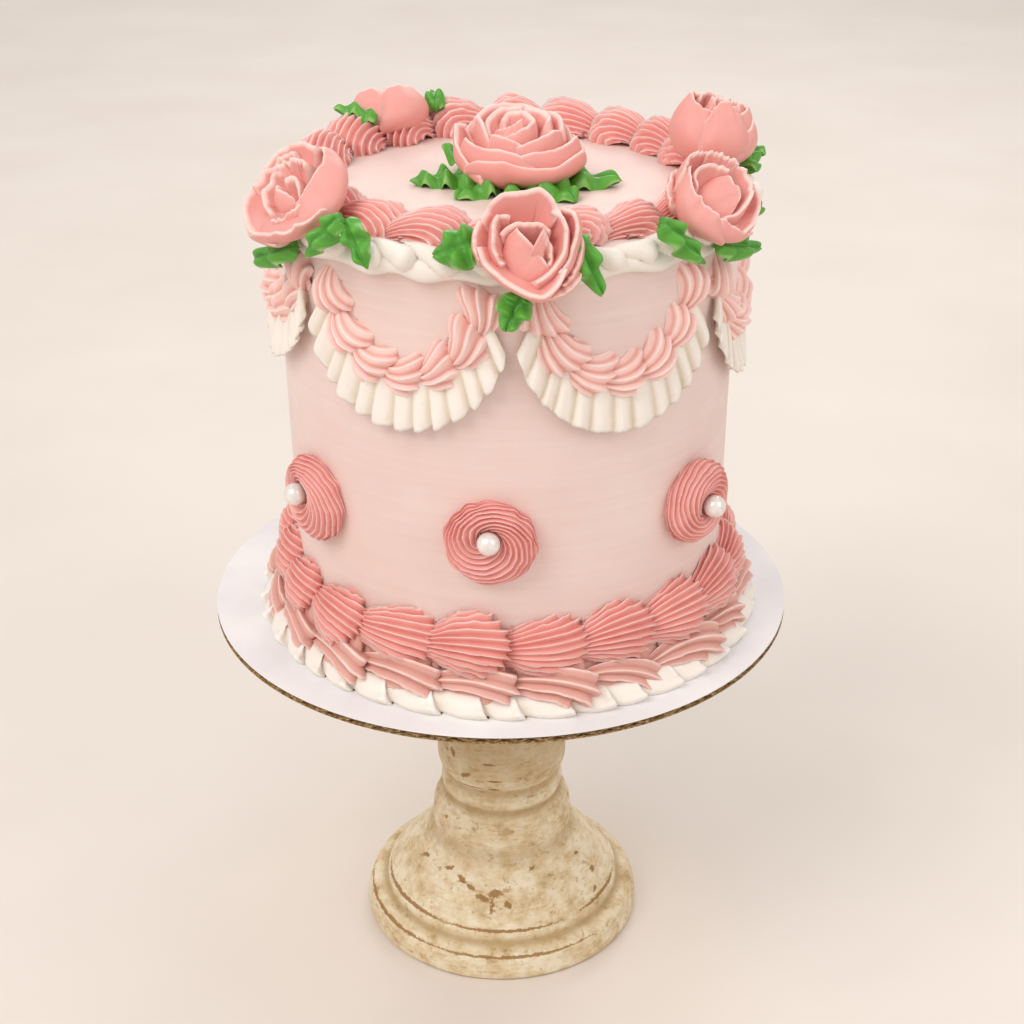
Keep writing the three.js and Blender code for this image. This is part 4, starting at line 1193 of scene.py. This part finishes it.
RIGHT_PETALS = [
    petal([(80, 0.25, 0.98), (50, 0.22, 0.95), (10, 0.33, 0.93), (350, 0.43, 0.85), (330, 0.46, 0.74)],
          [(140, 0.45, 0.5), (185, 0.5, 0.5), (225, 0.54, 0.45), (265, 0.56, 0.4), (300, 0.56, 0.4)],
          ragged=0.012),
    petal([(200, 0.6, 0.76), (176, 0.68, 0.86), (150, 0.6, 0.97), (115, 0.5, 0.97), (85, 0.46, 0.97)],
          swell=1.08),
    petal([(290, 0.62, 0.64), (315, 0.62, 0.7), (345, 0.64, 0.84), (15, 0.68, 0.94), (42, 0.72, 1.0),
           (66, 0.78, 1.0)], swell=1.04, ragged=0.03),
    petal([(128, 0.86, 1.0), (108, 0.84, 1.03), (86, 0.84, 1.03), (70, 0.82, 0.98)], swell=0.96),
    petal([(90, 0.8, 0.98), (62, 0.82, 1.0), (38, 0.86, 0.9)], swell=0.98),
    petal([(178, 0.95, 0.86), (165, 0.98, 0.98), (145, 0.95, 1.0), (125, 0.92, 0.94)],
          [(190, 0.92, 0.4), (168, 0.96, 0.45), (146, 0.95, 0.45), (125, 0.92, 0.45)]),
    petal([(172, 0.86, 0.92), (195, 0.78, 0.8), (217, 0.72, 0.78), (245, 0.68, 0.7), (268, 0.68, 0.7),
           (284, 0.78, 0.56), (296, 0.9, 0.36)],
          [(178, 0.9, 0.4), (205, 0.94, 0.4), (232, 0.98, 0.38), (255, 1.0, 0.36), (272, 0.98, 0.34),
           (286, 0.95, 0.28), (296, 0.93, 0.2)], ragged=0.03),
    petal([(272, 0.7, 0.66), (290, 0.76, 0.66), (308, 0.86, 0.55), (326, 0.96, 0.46), (342, 1.08, 0.46)],
          [(272, 0.84, 0.35), (290, 0.92, 0.34), (308, 0.97, 0.3), (326, 1.0, 0.28), (342, 1.0, 0.28)]),
    petal([(322, 0.98, 0.5), (345, 1.0, 0.68), (8, 1.0, 0.78), (35, 0.95, 0.84), (60, 0.92, 0.76)],
          swell=0.96),
    petal([(206, 1.04, 0.36), (188, 1.12, 0.5), (168, 1.1, 0.56), (148, 1.02, 0.5)], swell=0.9),
    petal([(55, 0.95, 0.6), (85, 1.0, 0.66), (120, 1.0, 0.6)], swell=0.94),
]

# The two at the back are nearly closed: tall petals wrapped one over the other

RIGHT_BACK_PETALS = [
    *bud(200, 0.24, 0.98, swell=1.7, ragged=0.012),
    petal([(330, 0.46, 0.96), (0, 0.5, 0.96), (35, 0.5, 0.95), (70, 0.46, 0.92)], swell=1.45),
    petal([(60, 0.5, 0.9), (95, 0.54, 0.96), (130, 0.54, 0.98), (160, 0.5, 0.92)], swell=1.4),
    petal([(100, 0.7, 0.84), (140, 0.7, 0.94), (175, 0.7, 0.96), (200, 0.62, 0.9), (222, 0.52, 0.84),
           (248, 0.44, 0.8)],
          [(100, 0.96, 0.4), (145, 1.0, 0.4), (180, 1.02, 0.4), (205, 1.02, 0.38), (230, 1.0, 0.36),
           (255, 0.95, 0.32)]),
    petal([(318, 0.62, 0.84), (345, 0.66, 0.9), (12, 0.68, 0.94), (42, 0.68, 0.9), (75, 0.66, 0.84)],
          swell=1.4),
    petal([(236, 0.78, 0.56), (246, 0.6, 0.78), (264, 0.42, 0.97), (292, 0.42, 0.98), (316, 0.52, 0.9),
           (336, 0.7, 0.72)],
          [(250, 0.98, 0.2), (260, 1.01, 0.34), (276, 1.04, 0.42), (296, 1.04, 0.42), (316, 1.03, 0.4),
           (334, 1.0, 0.36)]),
    petal([(306, 0.92, 0.5), (330, 0.88, 0.7), (354, 0.84, 0.78), (24, 0.86, 0.66)],
          [(306, 1.02, 0.24), (330, 1.05, 0.34), (354, 1.06, 0.36), (24, 1.04, 0.3)]),
    petal([(50, 0.95, 0.5), (85, 1.0, 0.6), (125, 1.0, 0.52)], swell=0.98),
]

LEFT_BACK_PETALS = [
    *bud(210, 0.26, 0.92, swell=1.5, ragged=0.01),
    petal([(60, 0.5, 0.8), (95, 0.55, 0.9), (130, 0.6, 0.92), (160, 0.6, 0.8)], swell=1.3),
    petal([(85, 0.85, 0.6), (120, 0.9, 0.7), (160, 0.92, 0.66), (190, 0.9, 0.5)], swell=1.08),
    petal([(168, 0.94, 0.5), (192, 0.88, 0.74), (212, 0.7, 0.96), (232, 0.48, 1.0), (256, 0.4, 0.88),
           (282, 0.5, 0.7)],
          [(168, 1.0, 0.3), (190, 1.02, 0.38), (212, 1.02, 0.42), (234, 1.02, 0.42), (256, 1.0, 0.38),
           (280, 0.98, 0.3)], ragged=0.012),
    petal([(258, 0.5, 0.78), (278, 0.42, 0.94), (306, 0.46, 0.98), (336, 0.58, 0.96), (4, 0.72, 0.84),
           (30, 0.86, 0.62)],
          [(258, 1.02, 0.24), (278, 1.04, 0.36), (304, 1.06, 0.42), (332, 1.06, 0.42), (2, 1.04, 0.38),
           (30, 1.0, 0.3)], ragged=0.012),
    petal([(15, 1.0, 0.46), (45, 1.02, 0.56), (80, 1.0, 0.5)], swell=1.0),
]

PETALS = {
    "centre": CENTRE_PETALS, "front": FRONT_PETALS, "right": RIGHT_PETALS, "left": LEFT_PETALS,
    "right_back": RIGHT_BACK_PETALS, "left_back": LEFT_BACK_PETALS,
}


def buttercream_rose(name, rose, seed):
    """A rose of all its petals round a heart, leaning outwards where it stands. The middle one has
    smoother rims than the rest."""
    rng = np.random.default_rng(seed)
    smooth_rim = 0.006
    parts = []
    for rim, belly, thick, ragged in PETALS[name]:
        sizes = rim, belly, thick, smooth_rim if name == "centre" else ragged
        parts.append(petal_part(rng, sizes, rose))
    points, faces, crest = joined([*parts, heart(rose)])
    from_camera = np.array(Matrix.Rotation(math.radians(-rose["azimuth"]), 3, "Z"))
    lean = Matrix.Rotation(math.radians(rose["tilt"]), 3, "X")
    turn = np.array(Matrix.Rotation(math.radians(rose["azimuth"]), 3, "Z") @ lean)
    points = points @ (turn @ from_camera).T
    points += round_cake(rose["azimuth"], rose["reach"], rose["z"])
    piece = make_object(f"buttercream_rose_{name}", (points, faces, crest), petal_buttercream)
    dress(piece, "icing_rose", f"rose_{name}")


for number, (name, rose) in enumerate(ROSES.items()):
    buttercream_rose(name, rose, 600 + number)

# Leaves, each from a stem end to a tip. On the cake's edge both are (azimuth, radius, z)


def leaf_part(stem, tip, half_width, up, ruffles, seed):
    """A leaf from a V shaped nozzle: two lobes on a crease, ruffled across, with a drawn out tip."""
    rows, columns = 49, 27
    thick, thin_by, round_edge = 3.2, 1.2, 1.7
    rng = np.random.default_rng(seed)
    along = np.linspace(0, 1, rows)[:, None]
    across = np.sin(np.linspace(-math.pi / 2, math.pi / 2, columns))[None, :]
    off_crease = np.abs(across)
    start, end = np.array(stem), np.array(tip)
    ahead = end - start
    length = np.linalg.norm(ahead)
    side = np.cross(up, ahead)
    side /= np.linalg.norm(side)
    normal = np.cross(ahead / length, side)

    wide = curve(along, [0, 0.1, 0.36, 0.66, 0.88, 1], [0.5, 0.86, 1, 0.78, 0.42, 0.08])
    push = np.cos(2 * math.pi * ruffles * along + rng.uniform(0, 6) + 0.5 * np.sign(across))
    wide = wide * (1 + 0.05 * push * smooth_step(0.05, 0.2, along))
    full_size = min(1, half_width / 5)
    lobes = 2.4 * full_size * wide * np.sin(math.pi * off_crease) ** 0.7 - 0.5 * wide * off_crease ** 2
    wave = 2.2 * full_size * push * np.sin(0.5 * math.pi * off_crease) * wide * smooth_step(0, 0.2, along)
    sway = 0.7 * np.sin(3 * along + rng.uniform(0, 6))
    height = 1.2 + lobes + wave + sway * wide + 0.15 * patches(rng, (rows, columns), (9, 6))

    spine = start + ahead * (along[..., None] + 0.03 * (push * off_crease)[..., None])
    grid = spine + side * (half_width * wide * across)[..., None]
    near_edge = np.minimum(half_width * wide * (1 - off_crease), 0.6 * length * (1 - along))
    fullness = np.sqrt(1 - (1 - np.clip(near_edge / round_edge, 0, 1)) ** 2)
    thickness = thick - thin_by * smooth_step(0.6, 1, along)
    front = grid + normal * (height - thickness * (1 - fullness) / 2)[..., None]
    back = grid + normal * (height - thickness * (1 + fullness) / 2 - 0.05)[..., None]
    # Painted light: shade along the crease, lighter and darker with the ruffles, and a highlight towards the
    # edges.
    crest = 0.3 + 0.25 * off_crease + 0.2 * push * off_crease + 0.2 * smooth_step(0.85, 1, off_crease)
    return closed_sheet(front, back, np.clip(crest, 0, 1))


def side_leaf(stem, tip, half_width, faces, lift, ruffles=2.3):
    """A leaf on the cake's edge that faces outwards at an azimuth, turned up by lift as a slope."""
    return round_cake(*stem), round_cake(*tip), half_width, outwards(faces, lift), ruffles


def top_leaf(direction, near, far, half_width, rise=0.0, ruffles=1.9):
    """A leaf of the middle rose, by its direction and distances from that rose."""
    rose = ROSES["centre"]
    middle = round_cake(rose["azimuth"], rose["reach"], CAKE_TOP + 0.3)
    stem, tip = (middle + round_stand(math.radians(direction), reach, lift)
                 for reach, lift in ((near, 0), (far, rise)))
    return stem, tip, half_width, Vector((0, 0, 1)), ruffles


LEAVES = {
    "centre_left": [top_leaf(-86, 12, 34, 6.2, 1, 3.5)],
    "centre_back": [top_leaf(-130, 14, 32, 4.6, 6)],
    "centre_front_left": [top_leaf(-44, 12, 27, 6.5)],
    "centre_front": [top_leaf(6, 12, 26, 6.2), top_leaf(38, 12, 29, 6.6)],
    "centre_right": [top_leaf(84, 12, 33, 7.5, 1)],
    "front_left": [side_leaf((-5.5, 82, 294.5), (-14.2, 84, 291), 6.4, -9, 0.6)],
    "front_right": [side_leaf((13, 83.5, 297), (18, 86, 279.5), 4.3, 15, 0.5)],
    "front_low": [side_leaf((2.5, 86, 281), (-0.5, 88, 271), 5.2, 1, 0.2)],
    "left_inner": [side_leaf((-34, 82, 297), (-28.2, 84, 284.5), 3.9, -31, 0.6)],
    "left_low": [side_leaf((-34.5, 84, 298), (-42.2, 86, 285), 3.9, -40, 0.5)],
    "left_outer": [side_leaf((-50, 82, 284.5), (-64, 86, 274.5), 4.3, -57, 0.4)],
    "right_inner": [side_leaf((32, 82, 296.5), (42, 85.5, 282.5), 3.9, 38, 0.6)],
    "right_outer": [side_leaf((48, 83, 286), (62, 86, 280), 4.3, 55, 0.5)],
    "right_side": [side_leaf((60, 80, 292), (70, 83, 288.5), 3, 66, 0.7)],
    "right_back_low": [side_leaf((105, 77.5, 294.5), (94.5, 80.5, 291), 5, 99, 1)],
    "right_back_outer": [side_leaf((108, 79.5, 296.5), (102.5, 87, 293), 3.6, 105, 1.2)],
    "left_back_low": [side_leaf((-130, 58, 300.5), (-124, 71, 303), 3.2, -126, 3)],
    "left_back_outer": [side_leaf((-155, 60, 300), (-159, 71, 302.5), 3.4, -156, 3)],
}

for number, (name, blades) in enumerate(LEAVES.items()):
    parts = [leaf_part(*blade, 700 + 10 * number + k) for k, blade in enumerate(blades)]
    piece = make_object(f"green_leaf_{name}", joined(parts), leaf_buttercream)
    dress(piece, "icing_leaf", f"leaf_{name}")

# The board: two liners on a middle that is fluted for this width from its cut edge, where it shows

FLUTED_WIDTH = 5


def disc(radius, low, high, columns=240):
    """A flat round plate with a slightly rounded edge."""
    edge, edge_height, middle = 0.15, 0.1, 0.1
    r, z = profile_columns([
        (middle, low), (radius - edge, low), (radius, low + edge_height),
        (radius, high - edge_height), (radius - edge, high), (middle, high)])
    around = np.radians(np.arange(columns) / columns * 360)[None, :]
    return closed_tube(round_stand(around, r, z), 0.5)


def fluted_middle(low, high):
    """The wavy kraft sheet between the liners, up to their cut edge."""
    pitch, sheet, columns = 8, 0.35, 1440
    rng = np.random.default_rng(77)
    inward = np.array([0.25, FLUTED_WIDTH / 2, FLUTED_WIDTH])[:, None]
    around = np.radians(np.arange(columns) / columns * 360)[None, :]
    flat = round_stand(around, BOARD_RADIUS - inward, (low + high) / 2)
    wave = np.sin(2 * math.pi * flat[..., 0] / pitch + 0.5 * patches(rng, (3, columns), (1, 30)))
    flat[..., 2] += (high - low - sheet) / 2 * wave
    half_sheet = np.array([0, 0, sheet / 2])
    return closed_ring(np.concatenate([flat + half_sheet, (flat - half_sheet)[::-1]]), 0.5)


def cake_board():
    liner = 0.4
    low = BOARD_BOTTOM + liner
    high = BOARD_TOP - liner
    piece = make_object("board_top_liner", disc(BOARD_RADIUS, high, BOARD_TOP), liner_paper)
    dress(piece, "board_paper", "cake_board")
    for name, part in [("board_bottom_liner", disc(BOARD_RADIUS, BOARD_BOTTOM, low)),
                       ("board_hidden_middle", disc(BOARD_RADIUS - FLUTED_WIDTH, low, high)),
                       ("board_fluted_middle", fluted_middle(low, high))]:
        dress(make_object(name, part, kraft_paper), "board_paper")


cake_board()

# The turned stand: (radius, height) along the profile, from the foot up

STAND_PROFILE = [
    (51.6, 0), (52.6, 1.2), (52.2, 4.5), (51.2, 8.6), (49.6, 10), (46.2, 10.9), (44.9, 11.6), (44.4, 14.6),
    (42.6, 17), (36, 25.5), (29.6, 32.8), (27.2, 35.8), (26.4, 38.5), (26.3, 44.5), (24.6, 50.4),
    (22.6, 53), (22.2, 54), (22.9, 56), (23, 57.8), (22, 60), (21.8, 62), (23.4, 65.5), (24.2, 69),
    (24.4, 76), (23.4, 84.5), (21.4, 90), (22, 96), (24, 104), (34, 116), (55, 125), (60, 127.5),
    (60, 137.4),
]


def turned_stand():
    """The stand turned from its profile, slightly uneven. Its crest is 1 deep in a dip of the profile, which
    the paint darkens most with painted shade.
    """
    columns, step = 160, 1.1
    seam = 14
    span, hollow_depth = 9, 0.8
    rng = np.random.default_rng(88)
    radius, z = np.array(STAND_PROFILE, dtype=float).T
    run = np.concatenate([[0], np.cumsum(np.hypot(np.diff(radius), np.diff(z)))])
    fine = np.arange(0, run[-1], step)
    radius = curve(fine, run, radius)
    z = curve(fine, run, z)
    evened = np.convolve(np.pad(radius, span // 2, "edge"), np.ones(span) / span, "valid")
    painted_shade_amount = np.clip((evened - radius) / hollow_depth, 0, 1)
    around = np.arange(columns) / columns * 360
    uneven = 0.18 * patches(rng, (len(fine), columns), (30, 24)) * off_seam(around, seam)[None, :]
    rows = round_stand(np.radians(around)[None, :], radius[:, None] + uneven, z[:, None])
    from_front = np.radians((around + 180) % 360 - 180)
    uv = np.stack(np.broadcast_arrays(from_front[None, :] * NECK_RADIUS, z[:, None]), axis=-1)
    uv = np.concatenate([uv.reshape(-1, 2), [[0, 0], [0, z[-1]]]])
    piece = make_object("painted_stand", closed_tube(rows, painted_shade_amount[:, None]), worn_paint, uv=uv)
    dress(piece, "stand_paint", "stand_pedestal")


turned_stand()

# Floor, light and camera

pale_floor = new_material(
    "pale matt floor", "#e7dcd3", mottled_colour([(0.3, "#dfd4cb"), (0.7, "#e5dbd2")], 160, 3.0),
    lambda tree: mottled(tree, 3), strength=0.02, height=0.1, Roughness=0.55)
floor = make_object("floor", disc(3000, -12, -0.02, 96), pale_floor)

world = bpy.data.worlds.new("soft studio")
world.use_nodes = True
bpy.context.scene.world = world
sky = world.node_tree.nodes["Background"].inputs
sky["Color"].default_value = linear("#fffdfb")
sky["Strength"].default_value = 0.7


def soft_light(name, place, aim, size, watts, hex_code):
    """A round lamp that many metres across, at a place in metres."""
    light = bpy.data.lights.new(name, "AREA")
    light.shape = "DISK"
    light.size = size
    light.energy = watts
    light.color = linear(hex_code)[:3]
    lamp = bpy.data.objects.new(name, light)
    lamp.location = place
    lamp.rotation_euler = (Vector(aim) - Vector(place)).to_track_quat("-Z", "Y").to_euler()
    bpy.context.scene.collection.objects.link(lamp)


soft_light("window", (-1.0, -1.0, 1.6), (0, 0, 0.2), 1.3, 18, "#fffbf8")
soft_light("fill", (1.3, -0.9, 1.3), (0, 0, 0.2), 1.4, 7.6, "#fffcfa")
soft_light("behind", (0.3, 1.3, 1.3), (0, 0, 0.25), 1.0, 6, "#fffdfb")
soft_light("far floor", (0, 2.3, 1.6), (0, 2.4, 0), 1.6, 9, "#fffaf5")

bpy.context.scene.view_settings.view_transform = "Standard"

# The camera looks down at the cake from in front, at these metres and degrees from level

CAMERA_PLACE = (0.004, -0.5547, 0.4427)
CAMERA_DOWN = 26.35
LENS_MM = 61.3

camera = bpy.data.cameras.new("camera")
camera.sensor_width = 36
camera.lens = LENS_MM
viewer = bpy.data.objects.new("camera", camera)
viewer.location = CAMERA_PLACE
viewer.rotation_euler = (math.radians(90 - CAMERA_DOWN), 0, 0)
bpy.context.scene.collection.objects.link(viewer)
bpy.context.scene.camera = viewer
